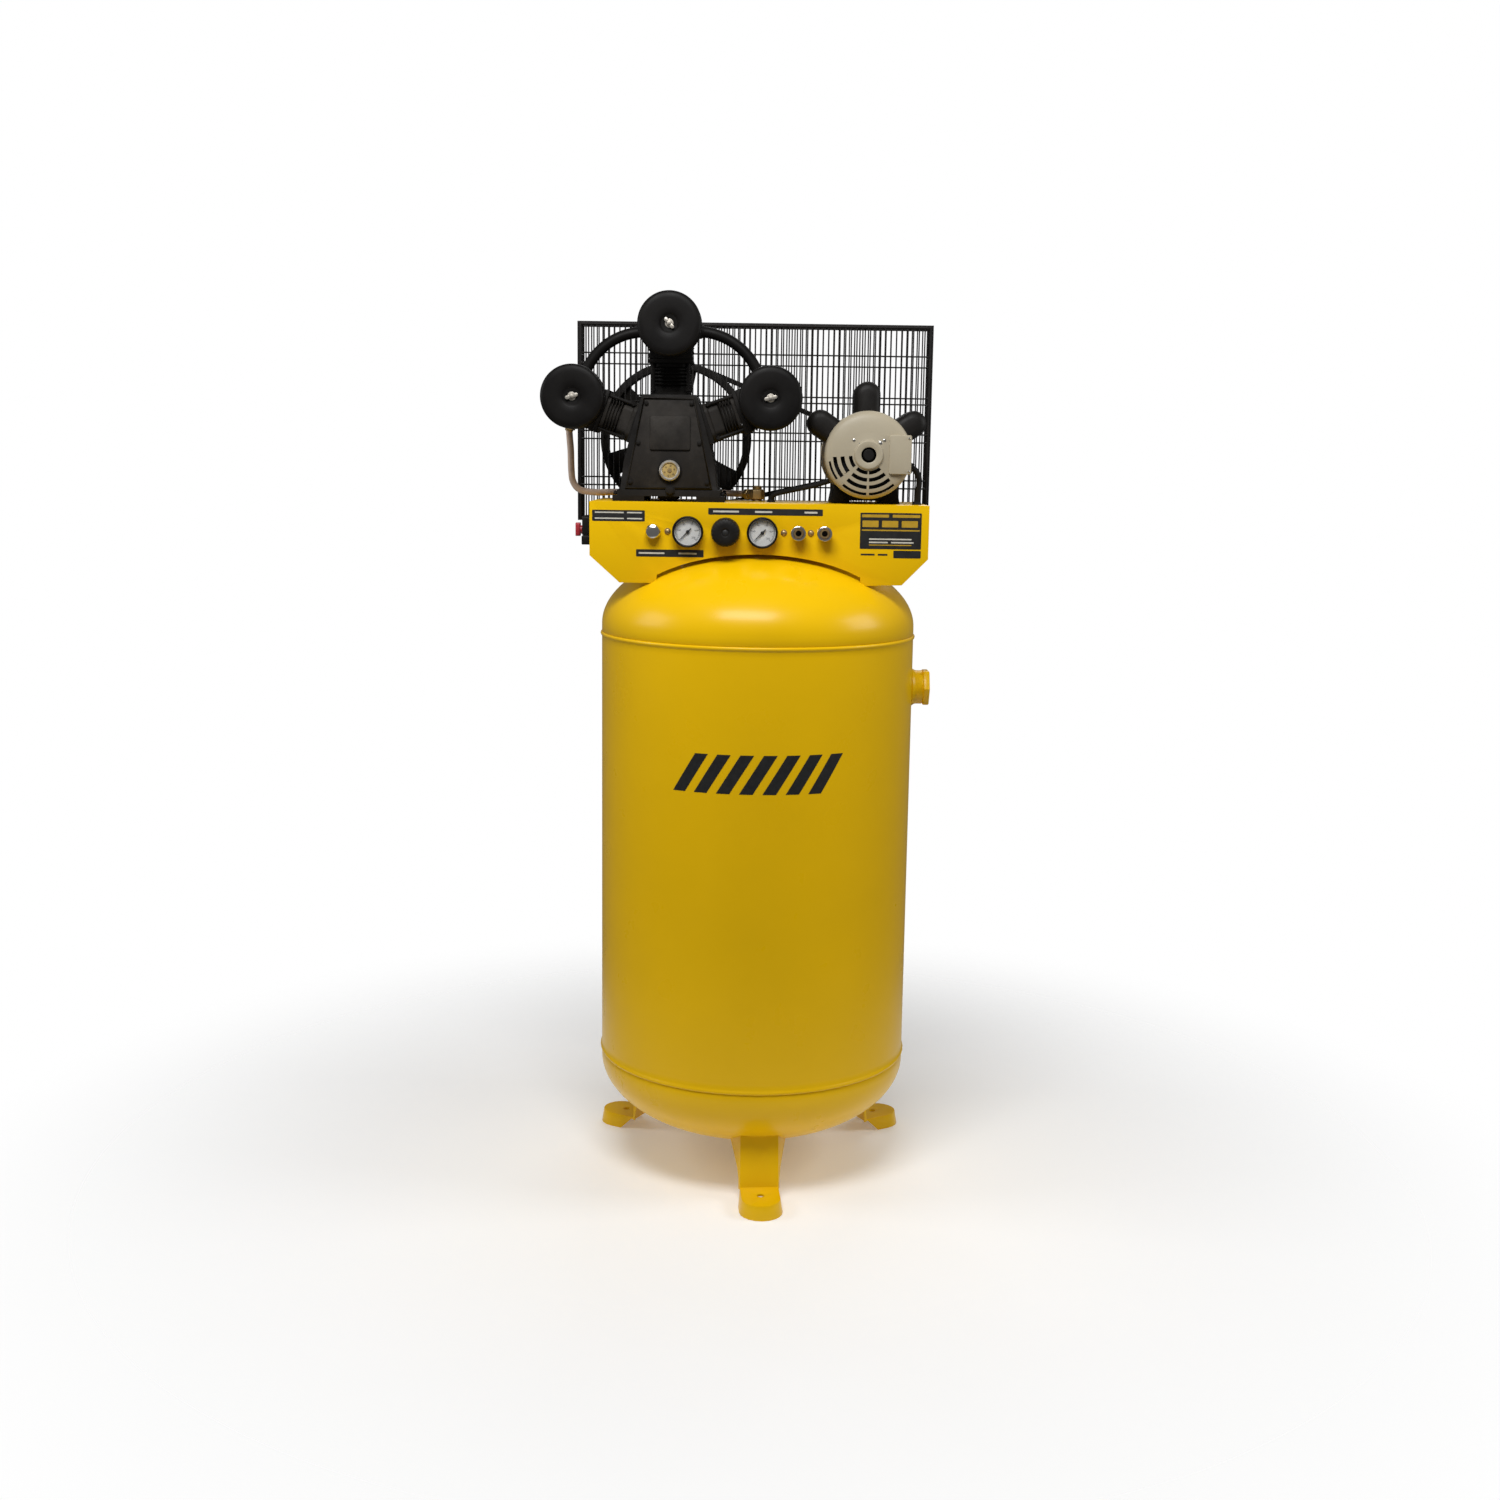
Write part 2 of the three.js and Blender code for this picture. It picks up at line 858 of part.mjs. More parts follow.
// ---------------------------------------------------------------- belt
function beltLoop(r1, r2) {
  const dx = MOTOR_X - PUMP_X;
  const dz = MOTOR_Z - CRANK_Z;
  const d = Math.hypot(dx, dz);
  const heading = THREE.MathUtils.radToDeg(Math.atan2(dz, dx));
  const wrap = THREE.MathUtils.radToDeg(Math.acos((r1 - r2) / d));
  return [
    ...arc(PUMP_X, CRANK_Z, r1, heading + wrap, heading + 360 - wrap, 24),
    ...arc(MOTOR_X, MOTOR_Z, r2, heading - wrap, heading + wrap, 8),
  ];
}
piece(
  "v_belt",
  prismY(
    beltLoop(BELT_IN_WHEEL + BELT_T, BELT_IN_PULLEY + BELT_T),
    BELT_Y - 6,
    BELT_Y + 6,
    [beltLoop(BELT_IN_WHEEL, BELT_IN_PULLEY)],
  ),
  "rubber",
);

// ---------------------------------------------------------------- belt guard
// A flat grille: upright and level bars in one plane.
function grille(g, y0, y1, cols, rows, bar) {
  const bars = [];
  for (let i = 0; i <= cols; i++) {
    const x = g.x0 + ((g.x1 - g.x0 - bar) * i) / cols;
    bars.push(block(x, x + bar, y0, y1, g.z0, g.z1));
  }
  for (let j = 0; j <= rows; j++) {
    const z = g.z0 + ((g.z1 - g.z0 - bar) * j) / rows;
    bars.push(block(g.x0, g.x1, y0, y1, z, z + bar));
  }
  return join(...bars);
}
const around = (x, z, r) =>
  rod([x, GUARD_FRONT.y0, z], [x, GUARD_FRONT.y1, z], r, 24);
piece(
  "guard_front_panel",
  cut(
    join(
      grille(GUARD_FRONT, GUARD_FRONT.y0, GUARD_FRONT.y1, 6, 3, 6),
      around(PUMP_X, CRANK_Z, 66),
      around(MOTOR_X, MOTOR_Z, 42),
      block(-262, -238, DECK_HALF_Y + GAP, 157, 1281, 1306),
      block(238, 262, DECK_HALF_Y + GAP, 157, 1281, 1306),
    ),
    rod([PUMP_X, 140, CRANK_Z], [PUMP_X, 180, CRANK_Z], 58, 24),
    rod([MOTOR_X, 140, MOTOR_Z], [MOTOR_X, 180, MOTOR_Z], 34, 24),
  ),
  "black",
);
{
  const g = GUARD_BACK;
  const bars = [];
  for (const t of [0, 0.5, 1]) {
    const x = g.x0 + (g.x1 - g.x0 - 6) * t;
    bars.push(block(x, x + 6, g.y0, g.y1, g.z1 - 6, g.z1));
    bars.push(block(x, x + 6, g.y0, g.y1, g.z0, g.z0 + 6));
  }
  const z = (g.z0 + g.z1) / 2;
  bars.push(block(g.x0, g.x0 + 6, g.y0, g.y1, z, z + 6));
  bars.push(block(g.x1 - 6, g.x1, g.y0, g.y1, z, z + 6));
  bars.push(block(g.x0, g.x0 + 6, g.y0, g.y0 + 6, g.z0, g.z1));
  bars.push(block(g.x1 - 6, g.x1, g.y0, g.y0 + 6, g.z0, g.z1));
  bars.push(block(g.x0, g.x1, g.y0, g.y0 + 6, g.z0, g.z0 + 6));
  bars.push(block(g.x0, g.x1, g.y0, g.y0 + 6, g.z1 - 6, g.z1));
  piece(
    "guard_basket",
    join(grille(g, g.y1 - 4, g.y1, 6, 3, 6), ...bars),
    "black",
  );
}

// ---------------------------------------------------------------- console fittings
const FACE = -DECK_HALF_Y - GAP;
const STEM = -128;
for (const k of ["tank", "outlet"]) {
  const group = new THREE.Group();
  group.position.set(GAUGE_X[k], 0, PANEL_Z);
  layout.add(group);
  piece(
    "gauge_" + k,
    turnedY(
      [
        [0, STEM],
        [7, STEM],
        [7, FACE],
        [29, FACE],
        [29, -170],
        [26.5, -172],
        [25.5, -170],
        [25.5, -160],
        [2, -160],
        [2, -163],
        [0, -163],
      ],
      20,
    ),
    "black",
    group,
  );
  piece(
    "needle_" + k,
    join(
      rod([0, -163.4, 0], [0, -165.4, 0], 3.4, 12),
      block(-1, 1, -165.2, -163.8, -8, 20),
    ).rotate([0, 225, 0]),
    "black",
    group,
  );
}
piece(
  "regulator_knob",
  join(
    rod([KNOB_X, -186, PANEL_Z], [KNOB_X, -153, PANEL_Z], 25, 20, 27),
    rod([KNOB_X, -154, PANEL_Z], [KNOB_X, STEM - 1, PANEL_Z], 6, 12),
  ),
  "black",
);
for (const k of ["left", "right"]) {
  const group = new THREE.Group();
  group.position.set(COUPLER_X[k], 0, PANEL_Z);
  layout.add(group);
  piece(
    "coupler_" + k,
    cut(
      join(
        rod([0, STEM, 0], [0, -151, 0], 7, 12),
        rod([0, FACE, 0], [0, -157, 0], 13, 6),
        rod([0, -156, 0], [0, -176, 0], 9, 16),
      ),
      rod([0, -180, 0], [0, -146, 0], 5.5, 12),
    ),
    "brass",
    group,
  );
  piece(
    "coupler_sleeve_" + k,
    turnedY(
      closedLoop([
        [9.8, -164],
        [13.4, -164],
        [14.2, -166],
        [14.2, -175],
        [13.2, -177],
        [9.8, -177],
      ]),
      16,
    ),
    "chrome",
    group,
  );
}
piece(
  "outlet_plug",
  join(
    rod([PLUG_X, STEM, PANEL_Z], [PLUG_X, -151, PANEL_Z], 7, 12),
    rod([PLUG_X, FACE, PANEL_Z], [PLUG_X, -158, PANEL_Z], 13, 6),
    rod([PLUG_X, -157, PANEL_Z], [PLUG_X, -172, PANEL_Z], 14.2, 16, 11),
  ),
  "chrome",
);
piece(
  "air_manifold",
  join(
    block(-214, 138, -127.6, -104, 1258, 1280),
    rod([KNOB_X, -127.6, PANEL_Z], [KNOB_X, -84, PANEL_Z], 24, 16),
    rod([-140, -116, 1190], [-140, -116, 1260], 10, 12).subtract(topHeadBody),
    rod([-206, -114, 1269], [-240, -62, 1269], 6, 8),
    rod([-236, -62, 1269], [-261.6, -62, 1269], 6, 8),
  ),
  "steel",
);
piece("pressure_switch", block(-336, -262, -100, -25, 1239, 1293), "black");
piece(
  "switch_lever",
  join(
    rod([-336.4, -62, 1266], [-343, -62, 1266], 8, 12),
    block(-350, -342, -74, -50, 1254, 1279),
  ),
  "red",
);
const SAFE_AT = [60, 40];
piece(
  "safety_valve",
  join(
    rod([...SAFE_AT, 1225], [...SAFE_AT, 1250], 8, 12).subtract(topHeadBody),
    rod([...SAFE_AT, 1249], [...SAFE_AT, 1256], 13, 6),
    rod([...SAFE_AT, 1255], [...SAFE_AT, 1278], 10, 12),
  ),
  "brass",
);
piece(
  "safety_valve_ring",
  join(
    rod([...SAFE_AT, 1278.4], [...SAFE_AT, 1288], 2.5, 8),
    solid(
      new THREE.TorusGeometry(9, 1.6, 6, 14)
        .rotateX(Math.PI / 2)
        .translate(60, 40, 1296),
    ),
  ),
  "steel",
);

export default machine;
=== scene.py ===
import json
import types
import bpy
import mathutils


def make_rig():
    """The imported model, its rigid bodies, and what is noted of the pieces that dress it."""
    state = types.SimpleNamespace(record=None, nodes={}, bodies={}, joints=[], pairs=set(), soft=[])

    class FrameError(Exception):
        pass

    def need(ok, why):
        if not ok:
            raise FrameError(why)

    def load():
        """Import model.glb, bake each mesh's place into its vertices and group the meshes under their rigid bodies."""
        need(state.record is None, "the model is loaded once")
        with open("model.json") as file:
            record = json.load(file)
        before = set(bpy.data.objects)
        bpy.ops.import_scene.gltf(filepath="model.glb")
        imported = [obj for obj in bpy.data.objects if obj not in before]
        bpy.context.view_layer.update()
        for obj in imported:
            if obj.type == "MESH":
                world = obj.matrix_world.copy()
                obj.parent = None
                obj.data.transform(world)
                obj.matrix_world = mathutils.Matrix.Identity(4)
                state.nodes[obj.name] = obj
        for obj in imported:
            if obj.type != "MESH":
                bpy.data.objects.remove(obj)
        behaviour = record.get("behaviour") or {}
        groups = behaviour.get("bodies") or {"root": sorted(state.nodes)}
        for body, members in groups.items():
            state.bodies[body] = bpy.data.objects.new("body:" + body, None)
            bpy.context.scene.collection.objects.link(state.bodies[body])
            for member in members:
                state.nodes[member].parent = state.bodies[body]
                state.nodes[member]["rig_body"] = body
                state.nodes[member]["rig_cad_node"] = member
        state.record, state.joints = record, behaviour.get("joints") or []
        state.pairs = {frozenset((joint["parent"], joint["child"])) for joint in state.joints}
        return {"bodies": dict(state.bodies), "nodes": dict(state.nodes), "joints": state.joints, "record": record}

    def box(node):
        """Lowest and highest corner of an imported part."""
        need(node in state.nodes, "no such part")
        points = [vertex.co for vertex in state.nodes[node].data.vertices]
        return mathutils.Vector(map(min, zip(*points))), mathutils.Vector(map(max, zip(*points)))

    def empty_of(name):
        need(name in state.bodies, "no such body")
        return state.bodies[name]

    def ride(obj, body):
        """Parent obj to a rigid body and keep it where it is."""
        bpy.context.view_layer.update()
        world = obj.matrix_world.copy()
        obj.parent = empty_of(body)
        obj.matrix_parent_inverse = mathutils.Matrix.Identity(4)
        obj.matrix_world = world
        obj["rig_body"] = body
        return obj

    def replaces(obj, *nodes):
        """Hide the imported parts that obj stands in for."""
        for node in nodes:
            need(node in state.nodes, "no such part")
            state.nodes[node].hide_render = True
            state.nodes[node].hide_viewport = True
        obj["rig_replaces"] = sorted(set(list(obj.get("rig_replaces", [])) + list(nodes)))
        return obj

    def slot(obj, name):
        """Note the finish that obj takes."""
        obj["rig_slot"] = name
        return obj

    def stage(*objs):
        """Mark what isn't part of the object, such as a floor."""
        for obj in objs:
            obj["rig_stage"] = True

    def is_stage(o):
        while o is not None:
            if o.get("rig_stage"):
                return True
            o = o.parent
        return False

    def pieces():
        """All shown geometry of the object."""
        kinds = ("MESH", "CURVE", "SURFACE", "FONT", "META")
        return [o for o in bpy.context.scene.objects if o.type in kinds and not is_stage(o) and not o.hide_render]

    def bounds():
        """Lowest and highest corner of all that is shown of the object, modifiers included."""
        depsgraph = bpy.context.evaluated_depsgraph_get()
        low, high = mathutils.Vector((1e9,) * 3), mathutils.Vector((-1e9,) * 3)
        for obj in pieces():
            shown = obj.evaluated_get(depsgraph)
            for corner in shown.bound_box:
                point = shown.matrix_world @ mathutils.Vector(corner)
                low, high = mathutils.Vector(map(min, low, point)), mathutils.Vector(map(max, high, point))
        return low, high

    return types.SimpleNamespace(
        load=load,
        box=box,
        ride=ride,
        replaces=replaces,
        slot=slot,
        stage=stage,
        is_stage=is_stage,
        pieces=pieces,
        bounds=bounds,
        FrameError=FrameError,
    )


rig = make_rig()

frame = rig.load()
cad_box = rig.bounds()

import json
import math

import bmesh
import bpy
from mathutils import Matrix, Vector

# ------------------------------------------------------------------ places, from the frame
lo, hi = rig.box("tank_shell")
FX = (lo.x + hi.x) / 2 * 1000  # the tank's axis, mm
FY = (lo.y + hi.y) / 2 * 1000
JOINT = {j["name"]: j for j in frame["joints"]}
PUMP_X = JOINT["crank_spin"]["pos_m"][0] * 1000 - FX
CRANK_Z = JOINT["crank_spin"]["pos_m"][2] * 1000
MOTOR_X = JOINT["motor_spin"]["pos_m"][0] * 1000 - FX
MOTOR_Z = JOINT["motor_spin"]["pos_m"][2] * 1000
SIDE = math.degrees(
    math.atan2(
        JOINT["piston_right_stroke"]["axis"][0], JOINT["piston_right_stroke"]["axis"][2]
    )
)
CYL_Y = {}
for k in ("center", "left", "right"):
    a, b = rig.box("cylinder_" + k)
    CYL_Y[k] = (a.y + b.y) / 2 * 1000 - FY
TURN = {"center": 0.0, "left": -SIDE, "right": SIDE}


def node_box(name):
    """Low and high corner of a node, mm, measured from the tank's axis."""
    a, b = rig.box(name)
    off = Vector((FX, FY, 0))
    return a * 1000 - off, b * 1000 - off


ROOT = "machine"
TO_ROW = Matrix.Translation(Vector((FX / 1000, FY / 1000, 0))) @ Matrix.Scale(0.001, 4)

# ------------------------------------------------------------------ materials
AMBIENT = 0.13


def material(
    name,
    color,
    rough=0.5,
    metal=0.0,
    vary=0.08,
    scale=14.0,
    rvary=0.08,
    bump=0.05,
    bscale=300.0,
    bdist=0.0004,
    coat=0.0,
    coat_rough=0.1,
    spec=0.5,
    second=None,
    second_scale=6.0,
    second_lo=0.55,
    second_hi=0.75,
    alpha=1.0,
    transmission=0.0,
    bump2=None,
):
    m = bpy.data.materials.new(name)
    m.use_nodes = True
    nt = m.node_tree
    n = nt.nodes
    bsdf = n["Principled BSDF"]
    bsdf.inputs["Metallic"].default_value = metal
    bsdf.inputs["Coat Weight"].default_value = coat
    bsdf.inputs["Coat Roughness"].default_value = coat_rough
    bsdf.inputs["Specular IOR Level"].default_value = spec
    bsdf.inputs["Alpha"].default_value = alpha
    bsdf.inputs["Transmission Weight"].default_value = transmission
    tc = n.new("ShaderNodeTexCoord")

    def noise(sc, detail=4.0, rough_=0.55):
        t = n.new("ShaderNodeTexNoise")
        t.inputs["Scale"].default_value = sc
        t.inputs["Detail"].default_value = detail
        t.inputs["Roughness"].default_value = rough_
        nt.links.new(tc.outputs["Object"], t.inputs["Vector"])
        return t

    ramp = n.new("ShaderNodeValToRGB")
    ramp.color_ramp.elements[0].position = 0.3
    ramp.color_ramp.elements[1].position = 0.7
    dark = [max(0.0, c * (1 - vary)) for c in color]
    light = [min(1.0, c * (1 + vary)) for c in color]
    ramp.color_ramp.elements[0].color = (*dark, 1)
    ramp.color_ramp.elements[1].color = (*light, 1)
    nt.links.new(noise(scale).outputs["Fac"], ramp.inputs["Fac"])
    col = ramp.outputs["Color"]
    if second:
        mr = n.new("ShaderNodeMapRange")
        mr.inputs["From Min"].default_value = second_lo
        mr.inputs["From Max"].default_value = second_hi
        nt.links.new(
            noise(second_scale, 8.0, 0.65).outputs["Fac"], mr.inputs["Value"]
        )
        mix = n.new("ShaderNodeMixRGB")
        mix.inputs["Color2"].default_value = (*second, 1)
        nt.links.new(mr.outputs["Result"], mix.inputs["Fac"])
        nt.links.new(col, mix.inputs["Color1"])
        col = mix.outputs["Color"]
    nt.links.new(col, bsdf.inputs["Base Color"])
    rr = n.new("ShaderNodeMapRange")
    rr.inputs["From Min"].default_value = 0.3
    rr.inputs["From Max"].default_value = 0.7
    rr.inputs["To Min"].default_value = max(0.02, rough - rvary)
    rr.inputs["To Max"].default_value = min(1.0, rough + rvary)
    nt.links.new(noise(scale * 2.3, 5.0).outputs["Fac"], rr.inputs["Value"])
    nt.links.new(rr.outputs["Result"], bsdf.inputs["Roughness"])
    b = n.new("ShaderNodeBump")
    b.inputs["Strength"].default_value = bump
    b.inputs["Distance"].default_value = bdist
    nt.links.new(noise(bscale, 3.0).outputs["Fac"], b.inputs["Height"])
    last = b
    if bump2:
        b2 = n.new("ShaderNodeBump")
        b2.inputs["Strength"].default_value = bump2[1]
        b2.inputs["Distance"].default_value = bump2[2]
        nt.links.new(noise(bump2[0], 2.0).outputs["Fac"], b2.inputs["Height"])
        nt.links.new(b.outputs["Normal"], b2.inputs["Normal"])
        last = b2
    nt.links.new(last.outputs["Normal"], bsdf.inputs["Normal"])
    return m


YELLOW = material(
    "yellow_enamel", (0.80, 0.478, 0.0012), rough=0.30, vary=0.025, scale=5.0, rvary=0.04,
    bump=0.08, bscale=420.0, bdist=0.0003, coat=0.06, coat_rough=0.14, spec=0.20,
    bump2=(9.0, 0.15, 0.0012),
)
IRON = material(
    "black_cast_iron", (0.0075, 0.0064, 0.0056), rough=0.66, vary=0.35, scale=22.0,
    rvary=0.12, bump=0.4, bscale=420.0, bdist=0.0005, spec=0.16,
    second=(0.022, 0.019, 0.016), second_scale=9.0, second_lo=0.5, second_hi=0.85,
)
# a lighter copy of the black cast iron: painted light on the pump's front cover and its two side cylinders
IRON_LIT_COPY = material(
    "lit_cast_iron_copy", (0.016, 0.0138, 0.0118), rough=0.64, vary=0.3, scale=20.0,
    rvary=0.1, bump=0.4, bscale=420.0, bdist=0.0005, spec=0.16,
    second=(0.048, 0.042, 0.036), second_scale=9.0, second_lo=0.45, second_hi=0.8,
)
BLACK = material(
    "satin_black_enamel", (0.0048, 0.0042, 0.0039), rough=0.5, vary=0.25, scale=16.0,
    rvary=0.08, bump=0.2, bscale=500.0, bdist=0.0003, spec=0.12,
    second=(0.0095, 0.008, 0.0072), second_scale=7.0, second_lo=0.55, second_hi=0.9,
)
WIRE = material(
    "guard_wire_black", (0.010, 0.0085, 0.0078), rough=0.55, spec=0.2, vary=0.3, scale=30.0,
    bump=0.15, bscale=800.0, bdist=0.0002,
)
BEIGE = material(
    "motor_enamel", (0.375, 0.328, 0.238), rough=0.46, vary=0.05, scale=9.0, rvary=0.07,
    bump=0.18, bscale=380.0, bdist=0.0003, coat=0.05, coat_rough=0.25, spec=0.25,
    second=(0.33, 0.295, 0.225), second_scale=12.0, second_lo=0.55, second_hi=0.9,
)
STEEL = material(
    "machined_steel", (0.46, 0.45, 0.43), rough=0.34, metal=1.0, vary=0.12, scale=30.0,
    bump=0.12, bscale=900.0, bdist=0.0002,
)
ZINC = material(
    "zinc_plate", (0.44, 0.41, 0.36), rough=0.42, metal=0.7, vary=0.12, scale=60.0,
    bump=0.1, bscale=900.0, bdist=0.0002,
)
ALLOY = material(
    "piston_alloy", (0.62, 0.62, 0.62), rough=0.36, metal=1.0, vary=0.08, scale=30.0,
    bump=0.08, bscale=900.0,
)
BRASS = material(
    "brass", (0.46, 0.33, 0.16), rough=0.38, metal=0.8, vary=0.15, scale=40.0,
    bump=0.1, bscale=700.0, bdist=0.0002, second=(0.30, 0.19, 0.09),
    second_scale=30.0, second_lo=0.5, second_hi=0.8,
)
COPPER = material(
    "copper_tube", (0.74, 0.56, 0.44), rough=0.45, metal=0.15, vary=0.12, scale=24.0,
    bump=0.12, bscale=500.0, bdist=0.0002, second=(0.56, 0.40, 0.30),
    second_scale=14.0, second_lo=0.5, second_hi=0.8,
)
CHROME = material(
    "bright_plate", (0.72, 0.70, 0.66), rough=0.16, metal=1.0, vary=0.05, scale=50.0,
    rvary=0.05, bump=0.05, bscale=900.0, bdist=0.0001,
)
RUBBER = material(
    "black_rubber", (0.009, 0.0085, 0.0085), rough=0.75, vary=0.25, scale=40.0, bump=0.25,
    bscale=900.0, bdist=0.0003, spec=0.2,
)
PLASTIC = material(
    "black_plastic", (0.0085, 0.0075, 0.0066), rough=0.52, vary=0.2, scale=40.0, bump=0.3,
    bscale=1400.0, bdist=0.0002, spec=0.18,
)
RED = material(
    "red_plastic", (0.36, 0.018, 0.028), rough=0.42, vary=0.12, scale=50.0, bump=0.2,
    bscale=1200.0, bdist=0.0002,
)
DIAL = material(
    "dial_white", (0.74, 0.74, 0.72), rough=0.5, vary=0.03, scale=60.0, bump=0.05,
    bscale=900.0, bdist=0.0001,
)
INK = material(
    "black_print", (0.012, 0.012, 0.012), rough=0.42, vary=0.2, scale=60.0, bump=0.05,
    bscale=900.0, bdist=0.0001,
)
PALE_INK = material(
    "pale_print", (0.55, 0.53, 0.46), rough=0.5, vary=0.1, scale=90.0, bump=0.05,
    bscale=900.0, bdist=0.0001,
)
AMBER_INK = material(
    "amber_print", (0.45, 0.27, 0.01), rough=0.5, vary=0.1, scale=90.0, bump=0.05,
    bscale=900.0, bdist=0.0001,
)
OIL_GLASS = material(
    "sight_glass_amber", (0.46, 0.33, 0.12), rough=0.12, vary=0.25, scale=60.0,
    bump=0.05, bscale=500.0, coat=0.6, coat_rough=0.05,
)
GLASS = material(
    "gauge_glass", (0.95, 0.95, 0.95), rough=0.06, rvary=0.02, vary=0.02, scale=20.0,
    bump=0.02, bscale=200.0, bdist=0.0001, transmission=1.0, alpha=0.25,
)
PAPER = material(
    "filter_paper", (0.50, 0.42, 0.28), rough=0.85, vary=0.12, scale=60.0, bump=0.3,
    bscale=900.0, bdist=0.0003, spec=0.2,
)


# ------------------------------------------------------------------ mesh building


class Build:
    """Collects closed shells in millimetres, measured from the tank's axis."""

    def __init__(self):
        self.v = []
        self.f = []
        self.mi = []
        self.m = Matrix.Identity(4)
        self.cur = 0

    def add(self, verts, faces):
        base = len(self.v)
        self.v += [self.m @ Vector(p) for p in verts]
        self.f += [tuple(i + base for i in f) for f in faces]
        self.mi += [self.cur] * len(faces)

    def lathe(self, prof, axis="Z", c=(0, 0, 0), seg=64, ring=False, shape=None):
        """prof: (radius, height) pairs. ring closes the profile on itself; otherwise it starts and ends at radius 0."""
        verts, idx = [], []
        for r, h in prof:
            if r < 1e-6:
                idx.append([len(verts)] * seg)
                verts.append((0, h, 0))
                continue
            row = []
            for i in range(seg):
                t = 2 * math.pi * i / seg
                k = shape(r, h, t) if shape else 1.0
                row.append(len(verts))
                verts.append((r * k * math.cos(t), h, r * k * math.sin(t)))
            idx.append(row)
        faces = []
        n = len(prof)
        for j in range(n if ring else n - 1):
            a, b = idx[j], idx[(j + 1) % n]
            for i in range(seg):
                k = (i + 1) % seg
                face = []
                for q in (a[i], a[k], b[k], b[i]):
                    if q not in face:
                        face.append(q)
                if len(face) > 2:
                    faces.append(face)
        out = []
        for x, y, z in verts:
            if axis == "Y":
                p = (x, y, z)
            elif axis == "Z":
                p = (x, -z, y)
            else:
                p = (y, x, z)
            out.append((p[0] + c[0], p[1] + c[1], p[2] + c[2]))
        self.add(out, faces)

    def box(self, x0, x1, y0, y1, z0, z1):
        v = [(x, y, z) for x in (x0, x1) for y in (y0, y1) for z in (z0, z1)]
        f = [(0, 1, 3, 2), (4, 6, 7, 5), (0, 4, 5, 1), (2, 3, 7, 6), (0, 2, 6, 4), (1, 5, 7, 3)]
        self.add(v, f)

    def prism(self, pts, a, b, plane="XZ"):
        n = len(pts)

        def at(p, h):
            if plane == "XZ":
                return (p[0], h, p[1])
            if plane == "XY":
                return (p[0], p[1], h)
            return (h, p[0], p[1])

        v = [at(p, a) for p in pts] + [at(p, b) for p in pts]
        f = [tuple(range(n)), tuple(range(2 * n - 1, n - 1, -1))]
        f += [(i, i + n, (i + 1) % n + n, (i + 1) % n) for i in range(n)]
        self.add(v, f)

    def cyl(self, a, b, r, seg=24, r2=None, cham=0.0):
        a, b = Vector(a), Vector(b)
        d = b - a
        length = d.length
        q = Vector((0, 1, 0)).rotation_difference(d.normalized())
        keep = self.m.copy()
        self.m = keep @ Matrix.Translation(a) @ q.to_matrix().to_4x4()
        r2 = r if r2 is None else r2
        if cham > 0:
            self.lathe(
                [(0, 0), (r - cham, 0), (r, cham), (r2, length - cham), (r2 - cham, length), (0, length)],
                "Y", seg=seg,
            )
        else:
            self.lathe([(0, 0), (r, 0), (r2, length), (0, length)], "Y", seg=seg)
        self.m = keep

    def hexa(self, a, b, af, cham=0.8):
        """A hexagonal bar across flats af, its two ends chamfered."""
        r = af / math.sqrt(3)
        self.cyl(a, b, r, 6, cham=cham)

    def bolt(self, base, way, af=10, h=5, stud=1.5, washer=True):
        base, way = Vector(base), Vector(way).normalized()
        if washer:
            self.cyl(base, base + way * 1.4, af * 0.72, 20)
        self.hexa(base + way * 1.2, base + way * (h + 1.2), af)
        if stud:
            self.cyl(base + way * h, base + way * (h + 1.2 + stud), af * 0.3, 12)

    def tube(self, pts, r, seg=16, closed=False, section=None):
        pts = [Vector(p) for p in pts]
        n = len(pts)
        tang = []
        for i in range(n):
            if closed:
                t = pts[(i + 1) % n] - pts[(i - 1) % n]
            else:
                t = pts[min(i + 1, n - 1)] - pts[max(i - 1, 0)]
            tang.append(t.normalized())
        up = Vector((0, 0, 1)) if abs(tang[0].z) < 0.9 else Vector((1, 0, 0))
        nrm = (up - tang[0] * up.dot(tang[0])).normalized()
        rows, verts = [], []
        for i in range(n):
            nrm = (nrm - tang[i] * nrm.dot(tang[i])).normalized()
            bi = tang[i].cross(nrm)
            row = []
            shape = section or [
                (r * math.cos(2 * math.pi * k / seg), r * math.sin(2 * math.pi * k / seg))
                for k in range(seg)
            ]
            for s, t in shape:
                row.append(len(verts))
                verts.append(pts[i] + nrm * s + bi * t)
            rows.append(row)
        m = len(rows[0])
        faces = []
        for i in range(n if closed else n - 1):
            a, b = rows[i], rows[(i + 1) % n]
            faces += [(a[k], a[(k + 1) % m], b[(k + 1) % m], b[k]) for k in range(m)]
        if not closed:
            faces += [tuple(reversed(rows[0])), tuple(rows[-1])]
        self.add(verts, faces)

    def make(
        self, name, mats, body=ROOT, nodes=(), slot=None, bevel=0.0, bseg=2, bang=32,
        angle=38, smooth=True,
    ):
        mesh = bpy.data.meshes.new(name)
        mesh.from_pydata([TO_ROW @ p for p in self.v], [], self.f)
        o = bpy.data.objects.new(name, mesh)
        bpy.context.scene.collection.objects.link(o)
        for m in mats if isinstance(mats, (list, tuple)) else [mats]:
            mesh.materials.append(m)
        mesh.polygons.foreach_set("material_index", self.mi)
        return finish_piece(o, body, nodes, slot, bevel, bseg, bang, angle, smooth)


